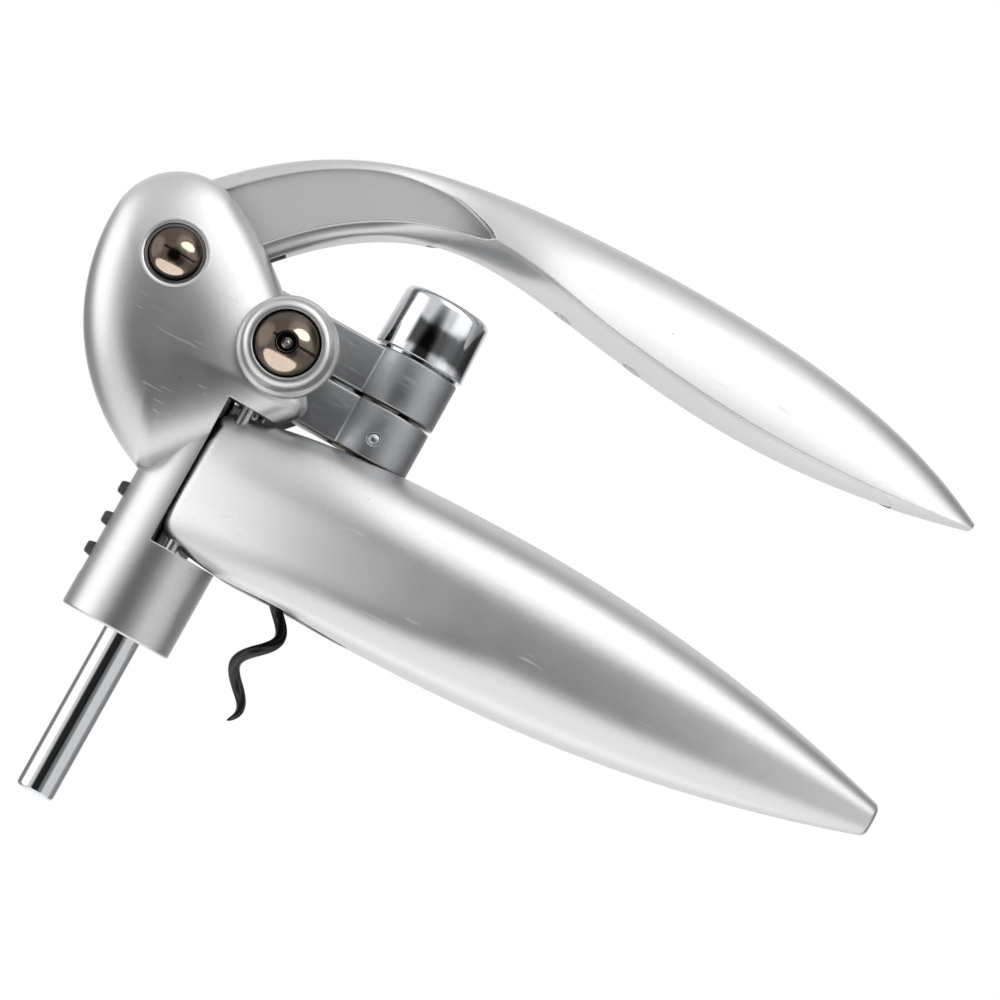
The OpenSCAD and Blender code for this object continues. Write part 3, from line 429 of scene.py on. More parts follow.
head_line = (arc(back_c, back_r, heel_turn, back_turn, 44)[:-1]
             + arc(top_c, top_r, back_turn, front_turn, 40)[:-1]
             + arc(front_c, front_r, front_turn, nose_turn, 44)[:-1]
             + arc(nose_c, nose_r, nose_turn, under_turn - 180, 12)
             + [nose_end.lerp(heel_end, i / 40) for i in range(1, 40)]
             + arc(heel_c, heel_r, under_turn + 180, heel_turn, 12)[:-1])
head_mid = axle + Vector((4.4, -15.5))
cheek_in, cheek_rise = 6.0, 9.0
cap_seat, well_r, well_floor = 12.6, 6.38, 12.59


def crown(x, z):
    p = Vector((x, z)) - head_mid
    best = 0.0
    for i, q in enumerate(head_line):
        a, b = q - head_mid, head_line[(i + 1) % len(head_line)] - head_mid
        area = a.x * b.y - a.y * b.x
        s, t = (p.x * b.y - p.y * b.x) / area, (a.x * p.y - a.y * p.x) / area
        if s >= 0 and t >= 0:
            best = s + t
    return cheek_in + cheek_rise * math.sqrt(max(0, 1 - best ** 3))


def pebble(side):
    rings = []
    for s in [math.cos(math.pi * k / 56) ** (2 / 3) for k in range(25)] + [0.32, 0.26, 0.2, 0.14, 0.08, 0.03]:
        y = cheek_in + cheek_rise * math.sqrt(1 - s ** 3)
        rings.append([(head_mid.x + s * (p.x - head_mid.x), side * y, head_mid.y + s * (p.y - head_mid.y))
                      for p in head_line])
    return skin(rings)


def rolled_rim(side):
    rings = []
    # Radius, and depth under the cheek's crown; the first two rings are the seat's flat floor
    for r, sink in ((3.6, None), (5.5, None), (5.5, 0.9), (5.5, 0.75), (5.55, 0.45), (5.68, 0.22),
                    (5.86, 0.08), (6.1, 0.01), (6.4, 0.0), (6.42, 0.4)):
        ring = []
        for k in range(96):
            a = 2 * math.pi * k / 96
            x, z = axle.x + r * math.cos(a), axle.y + r * math.sin(a)
            ring.append((x, side * (cap_seat if sink is None else crown(x, z) - sink), z))
        rings.append(ring)
    return skin(rings, ends=False)


for name, side in (("front_cheek", -1), ("rear_cheek", 1)):
    pocket = block(pocket_back, 5, *sorted((0, side * 30)), pocket_floor, 2)
    well = bar(well_r, side * well_floor, side * 20, axle, "Y")
    cheek = finished(name + ".cast", [pebble(side)], [pocket, well])
    rim = finished(name + ".rim", [rolled_rim(side)])
    mount(joined(cheek, rim), silver_paint, "silver_paint", "housing", name)


# Side bosses and their rivets: a turned ring on each cheek, sprayed silver, held by a tubular rivet
# with a dark nickel dome. A light steel pin is left in the rivet's open mouth.
boss = (-21.6, 15)
# Corners of a boss: radius, distance from the middle plane, rounding
boss_line = [(3.02, 6), (7.8, 6), (7.8, 11.5), (9.4, 11.5, 0.3), (9.4, 14.6, 1.0), (8.45, 15.6, 1.2),
             (8.0, 20, 1.35), (6.2, 20, 0.3), (6.12, 18.6), (3.02, 18.6)]
for name, side in (("front_boss", -1), ("rear_boss", 1)):
    ring = turned([(r, side * h, *soft) for r, h, *soft in boss_line], boss, "Y", True, 128)
    piece = finished(name + ".turned", [ring], crease=40)
    mount(piece, silver_paint, "silver_paint", "housing", name)

# Dark nickel: bright nickel plated over a pressed dome and toned dark. Its colour is also painted darker than
# the plate's own, as painted shade for the dark room that it mirrors.
# It mirrors almost sharply, is warm in tone, and has fine pits and cloudy rub marks that dull the mirror in
# places.
dark_nickel, tree, place = new_finish("nickel_plate_with_painted_shade")
cloud = add(tree, "TexNoise", {"Vector": place, "Scale": per_mm(3), "Detail": 5.0, "Roughness": 0.65})
# Pits are 0.05 mm wide and are drawn at 0.3 mm
pits = add(tree, "TexNoise", {"Vector": place, "Scale": per_mm(0.3), "Detail": 2.0})
# These colours are painted darker than the nickel's own, as painted shade standing for the dark room that the
# domes mirror
tone = blend(tree, cloud.outputs[0], "#4d443d", "#655c53")
gloss = add(tree, "MapRange", {"Value": cloud.outputs[0], "From Min": 0.35, "From Max": 0.7,
                               "To Min": 0.06, "To Max": 0.17})
pit_bump = add(tree, "Bump", {"Strength": 0.2, "Distance": 0.00002, "Height": pits.outputs[0]})
coat(tree, tone, gloss.outputs[0], pit_bump.outputs[0], {"Metallic": 1.0})


def dome(r, foot, rise, r_end, n=14):
    ball = (r * r + rise * rise) / (2 * rise)
    hub = foot + rise - ball
    a0, a1 = math.asin((foot - hub) / ball), math.acos(r_end / ball)
    return [(ball * math.cos(a0 + (a1 - a0) * i / n), hub + ball * math.sin(a0 + (a1 - a0) * i / n))
            for i in range(n + 1)]


def on_both_sides(line, centre, **own):
    return [turned([(r, side * h) for r, h in line], centre, "Y", **own) for side in (-1, 1)]


rivet_line = [(1.07, 6), (3, 6), (3, 18.6), (6.1, 18.6)] + dome(6.1, 19.5, 3.4, 1.95)
rivet_line += [(1.86, 22.6), (1.8, 22.45), (1.78, 19.2), (1.07, 19.2)]
rivets = finished("boss_rivets.pressed", on_both_sides(rivet_line, boss, looped=True), crease=40)
mount(rivets, dark_nickel, "dark_nickel", "housing", "boss_rivets")

# Lamps that the domes alone mirror: the lit table under them, and a window in front and one behind
lit_domes = bpy.data.collections.new("lit_domes")
lit_domes.objects.link(rivets)
for name, turn, lift, wide, high, energy in (("dome_table", 0, -62, 2.2, 1.0, 34.0),
                                             ("dome_front", 28, 46, 0.9, 0.5, 12.0),
                                             ("dome_rear", 165, 40, 0.9, 0.5, 12.0)):
    lamp = area_lamp(name, "ELLIPSE", turn, lift, 1.0, wide, high, energy)
    lamp.light_linking.receiver_collection = lit_domes

# Ground steel: free-cutting steel bar ground on its round and parted off. It is a plain grey metal
# with a fine grain from the wheel.
ground_steel, tree, place = new_finish("ground_steel")
cloud = add(tree, "TexNoise", {"Vector": place, "Scale": per_mm(2), "Detail": 4.0})
# The wheel's grain is 0.03 mm and is drawn at 0.2 mm
grind = add(tree, "TexNoise", {"Vector": place, "Scale": per_mm(0.2), "Detail": 1.0})
rounded = add(tree, "Bevel", {"Radius": 0.00015}, samples=4)
tone = blend(tree, cloud.outputs[0], "#a9abae", "#c6c7c9")
gloss = add(tree, "MapRange", {"Value": grind.outputs[0], "To Min": 0.2, "To Max": 0.36})
grind_bump = add(tree, "Bump", {"Strength": 0.2, "Distance": 0.00001, "Height": grind.outputs[0],
                                "Normal": rounded.outputs[0]})
coat(tree, tone, gloss.outputs[0], grind_bump.outputs[0], {"Metallic": 1.0})

pin_line = [(0, 6), (1.05, 6)] + dome(1.05, 20.4, 0.4, 0.02, 8)
pins = finished("rivet_pins.parted", on_both_sides(pin_line, boss, steps=48), crease=40)
mount(pins, ground_steel, "steel", "housing", "rivet_pins")
lit_domes.objects.link(pins)


# Lever axle, its caps and the hinge pins: ground steel bars pressed into the cheeks and the sleeve.
# A dark nickel dome is pressed into the recess over each end of the axle.
cap_r = 5
cap_line = [(0, cap_seat), (cap_r, cap_seat)] + dome(cap_r, 13.4, 2.6, 0.1)
caps = finished("axle_caps.pressed", on_both_sides(cap_line, axle), crease=40)
mount(caps, dark_nickel, "dark_nickel", "housing", "axle_caps")
lit_domes.objects.link(caps)
dress(ground_steel, "lever_axle", "hinge_pins")


# Rod bush: a ring of black acetal pressed into the sleeve's mouth. It is moulded and slightly waxy,
# with a fine even grain.
black_acetal, tree, place = new_finish("moulded_black_acetal")
# The mould's spark-eroded grain is 0.1 mm and is drawn at 0.35 mm
erosion = add(tree, "TexNoise", {"Vector": place, "Scale": per_mm(0.35), "Detail": 2.0})
cloud = add(tree, "TexNoise", {"Vector": place, "Scale": per_mm(9), "Detail": 3.0})
rounded = add(tree, "Bevel", {"Radius": 0.0003}, samples=4)
tone = blend(tree, cloud.outputs[0], "#2b2c2e", "#3a3b3d")
gloss = add(tree, "MapRange", {"Value": erosion.outputs[0], "To Min": 0.42, "To Max": 0.62})
dimple = add(tree, "Bump", {"Strength": 0.3, "Distance": 0.00004, "Height": erosion.outputs[0],
                            "Normal": rounded.outputs[0]})
coat(tree, tone, gloss.outputs[0], dimple.outputs[0], {"IOR": 1.48})
dress(black_acetal, "rod_bush")


# Lever: a flat root with a recessed web on both sides that runs into the domed grip, sprayed silver.
# The root is forked over the gear, and a flat seat is milled along the grip's underside for the strip.
def curve(points, t):
    while len(points) > 1:
        points = [points[i].lerp(points[i + 1], t) for i in range(len(points) - 1)]
    return points[0]


def curve_side(points, t, d):
    way = curve([points[i + 1] - points[i] for i in range(len(points) - 1)], t).normalized()
    return curve(points, t) + d * Vector((-way.y, way.x))


lever_over = [axle + Vector(p) for p in ((-2.2, 16.2), (32, 52.8), (59.6, 33), (107.9, 53.4), (153.4, 28.9))]
lever_under = [axle + Vector(p) for p in ((7.8, -0.4), (47.6, 54.9), (69.2, 4.7), (153.4, 28))]
# Along the lever, u runs from -1 at the hub over 0 at the grip's start to 1 at the tip
grip_over, grip_under, root_half, grip_widest = 0.196, 0.18, 5.6, 13.5
swell_from, swell_to, dome_points, hull_points = 0.06, 0.42, 80, 48
dome_edge, hull_at_root, hull_at_tip = math.radians(17), 0.38, 0.14
strip_from, strip_to, strip_sunk, strip_bed = 0.12, 0.92, 0.3, 1.6
web_half, web_rim, web_rim_grows, web_end, rim_round = 4.4, 3.4, 1.3, 0.374, 1.2
hub_r, fork_r, fork_half = 14.2, 19.9, 2.8


def over_at(u):
    return curve(lever_over, grip_over + ((1 - grip_over) if u > 0 else grip_over) * u)


def under_at(u):
    return curve(lever_under, grip_under + ((1 - grip_under) if u > 0 else grip_under) * u)


def eased(u, start, length, first=0, last=1):
    f = max(0, min(1, (u - start) / length))
    return first + (last - first) * f * f * (3 - 2 * f)


def grip_half(u):
    if u < swell_to:
        return eased(u, swell_from, swell_to - swell_from, root_half, grip_widest)
    return grip_widest * math.sqrt(1 - ((u - swell_to) / 0.59) ** 2.6)


def power(v, n):
    return math.copysign(abs(v) ** (2 / n), v)


def lever_ring(u):
    low, high = under_at(u), over_at(u)
    grown = eased(u, 0, 0.2)
    hull = eased(u, 0.12, 0.4, hull_at_root, hull_at_tip)
    ring = []
    # The root is a flat bar with rounded corners, the grip a lens: a dome over a shallow hull
    for i in range(dome_points):
        t = math.pi * i / dome_points
        lift = dome_edge + (math.pi - 2 * dome_edge) * i / dome_points
        up = (math.sin(lift) - math.sin(dome_edge)) / (1 - math.sin(dome_edge))
        y = power(math.cos(t), 4) * (1 - grown) + math.cos(lift) / math.cos(dome_edge) * grown
        h = hull + (1 - hull) * (power(math.sin(t), 4) * (1 - grown) + up * grown)
        ring.append((y, h))
    for i in range(hull_points):
        t = math.pi * i / hull_points
        y = -power(math.cos(t), 4) * (1 - grown) - math.cos(t) * grown
        h = hull * ((1 - power(math.sin(t), 4)) * (1 - grown) + math.cos(t) ** 2 * grown)
        ring.append((y, h))
    spots = [low.lerp(high, h) for y, h in ring]
    return [(p.x, grip_half(u) * y, p.y) for (y, h), p in zip(ring, spots)]


def strip_ring(u, grow, d0, d1):
    ring = lever_ring(u)[dome_points:]
    inward = (over_at(u) - under_at(u)).normalized()
    near_end = min(1, max(0.0, (u - strip_from) / 0.22), max(0.0, (strip_to - u) / 0.03))
    w = 0.9 * grip_half(u) * math.sqrt(max(0.02, 1 - (1 - near_end) ** 2)) + grow
    line = []
    for k in range(25):
        y = -w + 2 * w * k / 24
        i = max(j for j in range(hull_points) if ring[j][1] <= max(y, ring[0][1]))
        a, b = Vector(ring[i]), Vector(ring[min(i + 1, hull_points - 1)])
        f = (y - a.y) / (b.y - a.y) if b.y > a.y else 0
        line.append(a.lerp(b, max(0, min(1, f))) * Vector((1, 0, 1)) + Vector((0, y, 0)))
    inward = Vector((inward.x, 0, inward.y))
    return [p + inward * d0 for p in line] + [p + inward * d1 for p in reversed(line)]


web_tip = curve_side(lever_under, web_end, web_rim + web_rim_grows)
web_upper = [curve_side(lever_over, 0, -web_rim), axle + Vector((15.6, 31.4)),
             axle + Vector((33, 39.4)), web_tip]
web_line = ([curve(web_upper, i / 50) for i in range(51)]
            + [curve_side(lever_under, web_end * i / 50, web_rim + web_rim_grows * (i / 50) ** 4)
               for i in range(49, 0, -1)])


def web_cut(side):
    rings = []
    ways = [(b - a).normalized() for a, b in zip(web_line[-1:] + web_line[:-1], web_line[1:] + web_line[:1])]
    # The web's wall rolls over into the rim, and the last ring leads the cut out of the casting
    turns = [math.radians(11 * k) for k in range(7)]
    roll = [(rim_round * (1 - math.cos(a)), web_half + rim_round * math.sin(a)) for a in turns]
    for out, deep in roll + [(roll[-1][0], 30)]:
        spots = [p + out * Vector((-way.y, way.x)) for p, way in zip(web_line, ways)]
        rings.append([(p.x, side * deep, p.y) for p in spots])
    return skin(rings)


strip_steps = [strip_from + (strip_to - strip_from) * (1 - math.cos(math.pi * i / 70)) / 2 for i in range(71)]
lever_steps = [-1 + i / 40 for i in range(40)] + [0.98 * i / 110 for i in range(110)]
lever_steps += [0.98 + 0.015 * math.sin(math.pi / 2 * i / 8) for i in range(9)]
hub = turned([(0, -root_half), (hub_r, -root_half, 0.8), (hub_r, root_half, 0.8), (0, root_half)], axle, "Y")
lever = finished("lever.cast", [skin([lever_ring(u) for u in lever_steps])], [
    web_cut(1), web_cut(-1),
    bar(fork_r, -fork_half, fork_half, axle, "Y"),
    skin([strip_ring(u, 0.2, -2, strip_bed) for u in strip_steps])], crease=28)
root = finished("lever.hub", [hub], [bar(fork_r, -fork_half, fork_half, axle, "Y")])
mount(joined(lever, root, 28), silver_paint, "silver_paint", "lever", "lever_arm", "lever_grip")

# Dry silver paint: the spray reaches the recessed web as half-dry mist, so the same paint is duller there
dry_paint = silver_paint.copy()
dry_paint.name = "dry_sprayed_silver_paint"
dry_paint.node_tree.nodes["satin"].inputs["To Min"].default_value = 0.58
dry_paint.node_tree.nodes["satin"].inputs["To Max"].default_value = 0.68
lever.data.materials.append(dry_paint)
for face in lever.data.polygons:
    if abs(face.normal.y) > 0.9 and abs(abs(face.center.y) - web_half / 1000) < 0.0001:
        face.material_index = 1

# Strip and its screws: a pressed strip let into the grip's underside, sprayed like the grip and held
# by two small steel screws.
strip_skin = skin([strip_ring(u, -0.05, strip_sunk, strip_bed) for u in strip_steps])
strip = finished("grip_strip.pressed", [strip_skin], crease=40)
mount(strip, silver_paint, "silver_paint", "lever", "grip_strip")
head_out, heads, slots = 0.12, [], []
screw_line = [(0, 0), (1.95, 0, 0.2), (1.95, 0.6), (1.0, 1.3), (1.0, 8), (0, 8)]
for u in (0.42, 0.56):
    here, ahead = [under_at(v) + strip_sunk * (over_at(v) - under_at(v)).normalized() for v in (u, u + 0.01)]
    way = (ahead - here).normalized()
    inward = Vector((-way.y, way.x))
    foot = here - head_out * inward
    frame_at = Matrix(((inward.y, 0, inward.x, foot.x / 1000), (0, 1, 0, 0),
                       (-inward.x, 0, inward.y, foot.y / 1000), (0, 0, 0, 1)))
    heads.append(turned(screw_line, (0, 0), steps=48))
    slots.append(block(-2.2, 2.2, -0.28, 0.28, -0.3, 0.45))
    for shape in (heads[-1], slots[-1]):
        bmesh.ops.transform(shape, matrix=frame_at, verts=shape.verts)
screws = finished("grip_screws.slotted", heads, slots)
mount(screws, ground_steel, "steel", "lever", "grip_screws")


# Gear, its dowels and the lever's bush: a cut steel gear left dark from heat treatment, fixed in the
# fork by three steel dowels, on a turned bronze bush.
dark_steel, tree, place = new_finish("blacked_tool_steel")
cloud = add(tree, "TexNoise", {"Vector": place, "Scale": per_mm(4), "Detail": 5.0, "Roughness": 0.65})
# Cutter marks are 0.08 mm apart and are drawn at 0.3 mm
marks = add(tree, "TexWave", {"Vector": place, "Scale": per_mm(0.3) / 6.3, "Distortion": 3.0, "Detail": 2.0},
            bands_direction="Z")
rounded = add(tree, "Bevel", {"Radius": 0.0003}, samples=4)
rub = worn_edge(tree, rounded, 0.85)
tone = blend(tree, cloud.outputs[0], "#77797b", "#8f9193")
tone = blend(tree, rub.outputs[0], tone, "#a5a6a8")
gloss = add(tree, "MapRange", {"Value": cloud.outputs[0], "To Min": 0.3, "To Max": 0.5})
cutter_bump = add(tree, "Bump", {"Strength": 0.15, "Distance": 0.00002, "Height": marks.outputs[0],
                                 "Normal": rounded.outputs[0]})
coat(tree, tone, gloss.outputs[0], cutter_bump.outputs[0], {"Metallic": 1.0})

# Bronze: sintered bearing bronze, turned. It is a dull yellow brown with open pores and oil stains.
turned_bronze, tree, place = new_finish("turned_bearing_bronze")
cloud = add(tree, "TexNoise", {"Vector": place, "Scale": per_mm(2.5), "Detail": 4.0})
# Pores of the sintered metal are 0.05 mm and are drawn at 0.2 mm
pores = add(tree, "TexVoronoi", {"Vector": place, "Scale": per_mm(0.2)})
rounded = add(tree, "Bevel", {"Radius": 0.00015}, samples=4)
tone = blend(tree, cloud.outputs[0], "#9c7443", "#bf9760")
gloss = add(tree, "MapRange", {"Value": cloud.outputs[0], "To Min": 0.28, "To Max": 0.45})
pore_bump = add(tree, "Bump", {"Strength": 0.2, "Distance": 0.00001, "Height": pores.outputs["Distance"],
                               "Normal": rounded.outputs[0]})
coat(tree, tone, gloss.outputs[0], pore_bump.outputs[0], {"Metallic": 1.0})

dress(dark_steel, "drive_gear")
dress(ground_steel, "gear_dowels")
dress(turned_bronze, "lever_bush")


# Rack: a steel bar with stub teeth cut along its back and blacked, pinned into the carriage's arm. The
# rod beside it is chromed steel, with a rounded lower end.
rack_front, rack_root, rack_tip, rack_half = -28.4, -33.5, -36.9, 2.5
rack_foot, rack_top, first_tooth, tooth_pitch = -36.5, 24.4, -34, 6.283
rack_pin_at, cross_bore = (-30.7, 19.7), 1.22
rack_line = [(rack_front, rack_foot)]
for k in range(9):
    z = first_tooth + tooth_pitch * k
    rack_line += [(rack_root, z - 1.85, 0.3), (rack_tip, z - 1.1, 0.6),
                  (rack_tip, z + 1.1, 0.6), (rack_root, z + 1.85, 0.3)]
rack_line += [(rack_root, rack_top), (rack_front, rack_top)]
rack = finished("rack.cut", [plate(softened(rack_line), -rack_half, rack_half)], [
    bar(cross_bore, -8, 8, rack_pin_at, "Y", steps=32)])
mount(rack, dark_steel, "rack_steel", "carriage", "rack")
dress(ground_steel, "rack_pin", "rod_pin")

# Mirror chrome: hard chrome polished on steel. It mirrors the room sharply, slightly blue, with a few
# wiping smudges and hairlines.
mirror_chrome, tree, place = new_finish("polished_chrome_plate")
smudge = add(tree, "TexNoise", {"Vector": place, "Scale": per_mm(6), "Detail": 5.0, "Roughness": 0.7})
drawn = add(tree, "Mapping", {"Vector": place, "Scale": (20, 20, 1)})
# Polishing hairlines are 0.02 mm apart and are drawn at 0.5 mm
hair = add(tree, "TexNoise", {"Vector": drawn.outputs[0], "Scale": per_mm(10), "Detail": 2.0})
tone = blend(tree, smudge.outputs[0], "#c9ccd0", "#d6d8da")
gloss = add(tree, "MapRange", {"Value": smudge.outputs[0], "From Min": 0.45, "From Max": 0.75,
                               "To Min": 0.035, "To Max": 0.14})
hair_bump = add(tree, "Bump", {"Strength": 0.06, "Distance": 0.00002, "Height": hair.outputs[0]})
coat(tree, tone, gloss.outputs[0], hair_bump.outputs[0], {"Metallic": 1.0})

rod_r, rod_foot, rod_top = 3.7, -78.3, 22
rod_line = [(0, rod_foot), (rod_r, rod_foot, 0.9), (rod_r, rod_top, 0.3), (0, rod_top)]
rod = finished("guide_rod.chromed", [turned(rod_line, (rod_x, 0))], crease=40)
mount(rod, mirror_chrome, "chrome_plate", "carriage", "guide_rod")


# Worm carriage: a zinc casting with an arm to the rod and a collar round the worm's spindle, tumbled
# and left bare. The chromed cap on top is turned from brass and closes the spindle's bearing.
def arm_bar(x0, x1, half, z0, z1, soft):
    outline = softened([(-half, z0, soft), (half, z0, soft), (half, z1, soft), (-half, z1, soft)], True)
    return skin([[(x, p.x, p.y) for p in outline] for x in [x0 + (x1 - x0) * k / 3 for k in range(3)] + [x1]])


def collar(r, z0, z1):
    return turned([(0, z0), (r, z0, 0.35), (r, z1, 0.35), (0, z1)], (0, 0))


# Tumbled zinc is a bluish satin grey with soft stains, short scuffs from the stones and bright edges
bare_zinc, tree, place = new_finish("tumbled_bare_zinc")
cloud = add(tree, "TexNoise", {"Vector": place, "Scale": per_mm(7), "Detail": 5.0, "Roughness": 0.65})
# Scuffs and stone marks are 0.1 mm wide and are drawn at 0.4 mm
stretched = add(tree, "Mapping", {"Vector": place, "Rotation": (0.2, 0.5, 0.1), "Scale": (2, 2, 22)})
lines = add(tree, "TexNoise", {"Vector": stretched.outputs[0], "Scale": per_mm(9), "Detail": 3.0})
scuff = add(tree, "MapRange", {"Value": lines.outputs[0], "From Min": 0.58, "From Max": 0.72})
stones = add(tree, "TexNoise", {"Vector": place, "Scale": per_mm(0.4), "Detail": 2.0})
rounded = add(tree, "Bevel", {"Radius": 0.0004}, samples=6)
rub = worn_edge(tree, rounded, 0.86)
tone = blend(tree, cloud.outputs[0], "#9a9da1", "#afb1b3")
tone = blend(tree, rub.outputs[0], tone, "#c9ccd0")
gloss = add(tree, "MapRange", {"Value": cloud.outputs[0], "To Min": 0.3, "To Max": 0.44})
gloss = add(tree, "Math", {0: scuff.outputs[0], 1: 0.14, 2: gloss.outputs[0]}, operation="MULTIPLY_ADD")
stone_bump = add(tree, "Bump", {"Strength": 0.25, "Distance": 0.00002, "Height": stones.outputs[0],
                                "Normal": rounded.outputs[0]})
coat(tree, tone, gloss.outputs[0], stone_bump.outputs[0], {"Metallic": 1.0})

arm_half, arm_soft, arm_foot, collar_top, collar_r = 5.6, 0.5, 15, 24.7, 8.5
bush_bore, cap_bore, cap_foot, arm_hole = 5.28, 6.3, 18.41, 6.0
rack_seat, rack_seat_half, rod_seat, rod_pin_z = -28.38, 2.52, 3.72, 18.7
bore_line = [(0, 10), (bush_bore, 10), (bush_bore, cap_foot), (cap_bore, cap_foot), (cap_bore, 30), (0, 30)]
carriage = finished("worm_carriage.collar", [collar(collar_r, arm_foot, collar_top)],
                    [turned(bore_line, (0, 0))])
arm = finished("worm_carriage.arm", [arm_bar(-32.7, -1, arm_half, arm_foot, rack_top, arm_soft)], [
    bar(arm_hole, 10, 30, (0, 0)),
    block(-60, rack_seat, -rack_seat_half, rack_seat_half, 0, 60),
    bar(rod_seat, 10, rod_top, (rod_x, 0)),
    bar(cross_bore, -8, 8, rack_pin_at, "Y", steps=32),
    bar(cross_bore, -8, 8, (rod_x, rod_pin_z), "Y", steps=32)])
mount(joined(carriage, arm), bare_zinc, "bare_zinc", "carriage", "worm_carriage")

cap_line = [(0, 34.6), (4.9, 34.6), (4.9, 22.31), (6.28, 22.31), (6.28, collar_top), (8.05, collar_top),
            (8.05, 25.3), (8.95, 25.3, 0.3), (8.5, 37.6, 1.6), (0, 37.6)]
cap = finished("bearing_cap.turned", [turned(cap_line, (0, 0))], crease=40)
mount(cap, mirror_chrome, "chrome_plate", "carriage", "bearing_cap")
dress(turned_bronze, "worm_bush", "thrust_washer")


# Worm: hardened wire wound to a coil and ground to a point, with a slick black coating. Its straight
# end is set into a steel spindle head that turns in the carriage.

# The coating is a thin baked resin: nearly black and smooth, with a cloudy gloss and fine specks
slick_black, tree, place = new_finish("baked_black_coating")
cloud = add(tree, "TexNoise", {"Vector": place, "Scale": per_mm(2.2), "Detail": 4.0})
# Specks in the resin are 0.05 mm and are drawn at 0.35 mm
grit = add(tree, "TexNoise", {"Vector": place, "Scale": per_mm(0.35), "Detail": 2.0})
tone = blend(tree, cloud.outputs[0], "#0a0a0b", "#1b1b1d")
gloss = add(tree, "MapRange", {"Value": cloud.outputs[0], "From Min": 0.3, "From Max": 0.7,
                               "To Min": 0.16, "To Max": 0.34})
grit_bump = add(tree, "Bump", {"Strength": 0.2, "Distance": 0.00003, "Height": grit.outputs[0]})
coat(tree, tone, gloss.outputs[0], grit_bump.outputs[0], {"IOR": 1.45})

# The wire stands at the front of the coil at wire_front, and is ground to a point over point_long
coil_r, wire_r, worm_pitch, worm_tip, coil_top = 2.5, 1.1, 15.2, -49.6, 13.9
wire_front, point_long = 9.85, 6
wire_rings = []
for i in range(260):
    if i < 256:
        z = worm_tip + (coil_top - worm_tip) * i / 255
        r = wire_r * min(1, 0.04 + 0.96 * math.sqrt(max(0, z - worm_tip) / point_long))
        a = 2 * math.pi * (z - wire_front) / worm_pitch - math.pi / 2
        run = Vector((-coil_r * math.sin(a), coil_r * math.cos(a), worm_pitch / 2 / math.pi)).normalized()
    else:
        z, run = (14.3, 14.8, 16.5, 18.7)[i - 256], Vector((0, 0, 1))
    out = Vector((math.cos(a), math.sin(a), 0))
    side = out.cross(run)
    wire_rings.append([Vector((coil_r * math.cos(a), coil_r * math.sin(a), z))
                       + r * (math.cos(math.pi * k / 12) * out + math.sin(math.pi * k / 12) * side)
                       for k in range(24)])
worm = finished("worm.wound", [skin(wire_rings)], crease=50)
mount(worm, slick_black, "worm_coating", "worm_spindle", "worm")
dress(ground_steel, "worm_head")


# Nut carriage: the lower zinc arm and collar, tumbled like the upper one. Its bronze bush is held by a
# small pin in a round seat at the front, and a steel peg inside runs between the worm's turns.
nut_r, nut_foot, nut_top, nut_pin_z, nut_pin_r = 8.3, 4.5, 14.3, 8.3, 1.1
nut_bore, nut_arm_hole, nut_rod_bore, pin_seat = 6.22, 6.8, 3.76, 1.2
nut = finished("nut_carriage.collar", [collar(nut_r, nut_foot, nut_top)], [
    bar(nut_bore, 0, 20, (0, 0)), bar(pin_seat, -10, -7.4, (0, nut_pin_z), "Y", steps=48)])
arm = finished("nut_carriage.arm", [arm_bar(-28, -1, arm_half, nut_foot, nut_top, arm_soft)], [
    bar(nut_arm_hole, 0, 20, (0, 0)), bar(nut_rod_bore, 0, 20, (rod_x, 0))])
mount(joined(nut, arm), bare_zinc, "bare_zinc", "nut", "nut_carriage")
pin_line = [(r, -h) for r, h in [(0, 7), (nut_pin_r, 7)] + dome(nut_pin_r, 8.0, 0.3, 0.05, 8)]
pin = finished("nut_pin.domed", [turned(pin_line, (0, nut_pin_z), "Y", steps=48)], crease=50)
mount(pin, ground_steel, "steel", "nut", "nut_pin")
dress(turned_bronze, "nut_bush")
dress(ground_steel, "nut_peg")


# Clamp handles: two zinc castings, long and pear-shaped, hinged on upright pins. Together they close
# round the bottle's neck; a flat cover is screwed into the inner face of each, and both are painted.
handle_reach, handle_full, handle_tall, handle_deep = 114.2, 22, 16.4, 21
knuckle_r, root_round, root_top_round, root_edge, root_drop = 3.6, 4.2, 3.0, 1.4, 1.1
neck_bore, pad_seat, past_middle, spindle_bore, collar_room, pin_bore = 14.6, 16.2, 2, 5.2, 9.5, 1.31
cover_from, cover_long, cover_rim, cover_deep, tip_round = 19.8, 85.4, 1.6, 2.4, 0.8


def to_root(x):
    return (max(0, handle_full - x) / 44.6) ** 2.5


def handle_mid(x):
    return -11.34 + 0.026 * x - 0.46 * to_root(x)


# Half the height is fullest at handle_full and falls to 0.19 of that at the tip and 0.78 at the root
def handle_half(x):
    if x > handle_full:
        return handle_tall * (1 - 0.809 * ((x - handle_full) / 92.2) ** 2.14)
    return handle_tall * (1 - 0.222 * to_root(x))


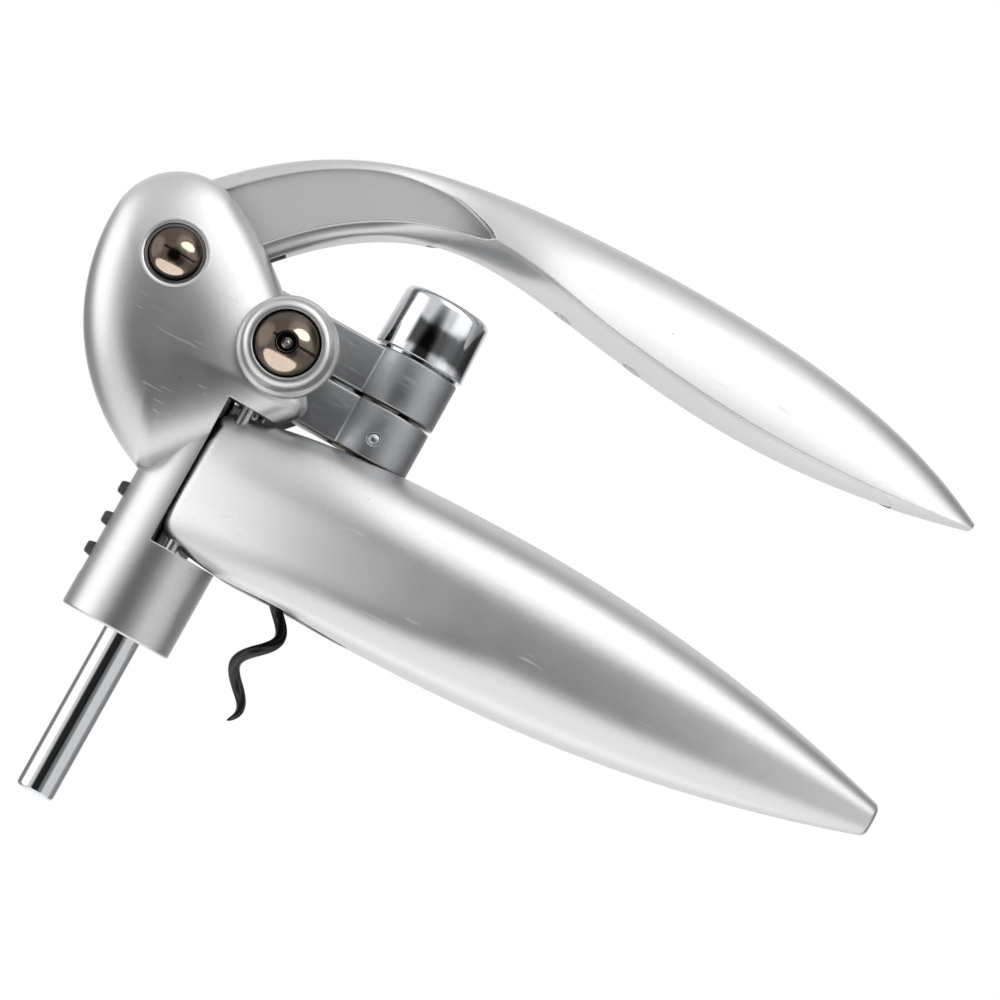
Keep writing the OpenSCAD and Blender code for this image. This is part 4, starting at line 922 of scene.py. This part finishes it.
def handle_ring(x, count=44):
    at = max(x, hinge_x)
    low = handle_mid(at) - handle_half(at) - root_drop * min(1, 2 * to_root(at))
    high = handle_mid(at) + handle_half(at)
    from_end = x - (hinge_x - knuckle_r)
    if from_end < root_round:
        low += root_round - math.sqrt(root_round ** 2 - (root_round - from_end) ** 2)
    if from_end < root_top_round:
        high -= root_top_round - math.sqrt(root_top_round ** 2 - (root_top_round - from_end) ** 2)
    # The inner face runs back from 0.4 to 4.8 mm beside the worm, and the outer face is deepest at x 20
    y0 = 4.8 if x < -12 else 0.4 if x > 12 else 4.8 - 4.4 * (x + 12) / 24
    if x > 20:
        y1 = handle_deep * (1 - 0.8 * ((x - 20) / 94.2) ** 2.14)
    else:
        y1 = handle_deep - 8.5 * ((20 - x) / 42.6) ** 2.2
    if x < hinge_x:
        y0 = max(y0, hinge_y - math.sqrt(knuckle_r ** 2 - (x - hinge_x) ** 2))
    if from_end < root_edge:
        y1 -= root_edge - math.sqrt(root_edge ** 2 - (root_edge - from_end) ** 2)
    round_over, round_under = 2.6, 3 + 1.5 * max(0, min(1, (40 - x) / 25))
    tip = math.sqrt(1 - (max(0, x - handle_reach + tip_round) / 1.44) ** 2)
    mid, h, w = (low + high) / 2, (high - low) / 2 * tip, (y1 - y0) * tip
    ring = []
    for i in range(count + 1):
        t = math.pi / 2 - math.pi * i / count
        n = round_over if t > 0 else round_under
        ring.append((x, y0 + w * power(math.cos(t), n), mid + h * power(math.sin(t), n)))
    return ring


handle_steps = [hinge_x - knuckle_r * math.cos(math.pi / 2 * (i + 0.15) / 10) for i in range(10)]
handle_steps += [hinge_x + (handle_reach - tip_round - hinge_x) * i / 120 for i in range(121)]
handle_steps += [handle_reach - tip_round + tip_round * math.sin(math.pi / 2 * i / 8) for i in range(1, 9)]
seat_xs = [cover_from + cover_long * i / 60 for i in range(61)]
seat_line = ([(x, handle_mid(x) - handle_half(x) + cover_rim) for x in seat_xs]
             + [(x, handle_mid(x) + handle_half(x) - cover_rim) for x in reversed(seat_xs)])
# A white card stands close to the roots of the handles and lights these two alone
card = area_lamp("handle_card", "RECTANGLE", -24, -3, 1.0, 0.95, 0.32, 0.9)
lit_by_card = bpy.data.collections.new("lit_by_card")
card.light_linking.receiver_collection = lit_by_card
for name, side, body in (("front_handle", -1, "front_clamp"), ("rear_handle", 1, "rear_clamp")):
    rings = [[(x, side * y, z) for x, y, z in handle_ring(x)] for x in handle_steps]
    handle = finished(name + ".cast", [skin(rings)], [
        bar(neck_bore, -60, 0, (0, -past_middle * side), steps=128),
        bar(pad_seat, -21, -3, (0, -past_middle * side), steps=128),
        bar(spindle_bore, -1, 30, (0, 0)), bar(collar_room, 3.9, 30, (0, 0)),
        bar(pin_bore, -40, 20, (hinge_x, side * hinge_y), steps=32),
        plate(seat_line, *sorted((side * -1, side * cover_deep)))], crease=30)
    mount(handle, silver_paint, "silver_paint", body, name)
    lit_by_card.objects.link(handle)


# Covers, jaw pads and their screws: moulded acetal plates on the handles' inner faces, held by small
# steel screws, and rubber pads in the jaw bores that grip the glass.

# Nitrile rubber is matt and nearly black, with a cloudy grey bloom
grip_rubber, tree, place = new_finish("moulded_nitrile_rubber")
cloud = add(tree, "TexNoise", {"Vector": place, "Scale": per_mm(5), "Detail": 4.0})
# Mould grain is 0.08 mm and is drawn at 0.4 mm
grain = add(tree, "TexNoise", {"Vector": place, "Scale": per_mm(0.4), "Detail": 3.0})
rounded = add(tree, "Bevel", {"Radius": 0.0003}, samples=4)
tone = blend(tree, cloud.outputs[0], "#1e1e20", "#313133")
gloss = add(tree, "MapRange", {"Value": cloud.outputs[0], "To Min": 0.65, "To Max": 0.85})
grain_bump = add(tree, "Bump", {"Strength": 0.4, "Distance": 0.00005, "Height": grain.outputs[0],
                                "Normal": rounded.outputs[0]})
coat(tree, tone, gloss.outputs[0], grain_bump.outputs[0], {"IOR": 1.52})
dress(black_acetal, "front_cover", "rear_cover")
dress(grip_rubber, "front_jaw_pad", "rear_jaw_pad")
dress(ground_steel, "front_cover_screws", "rear_cover_screws")
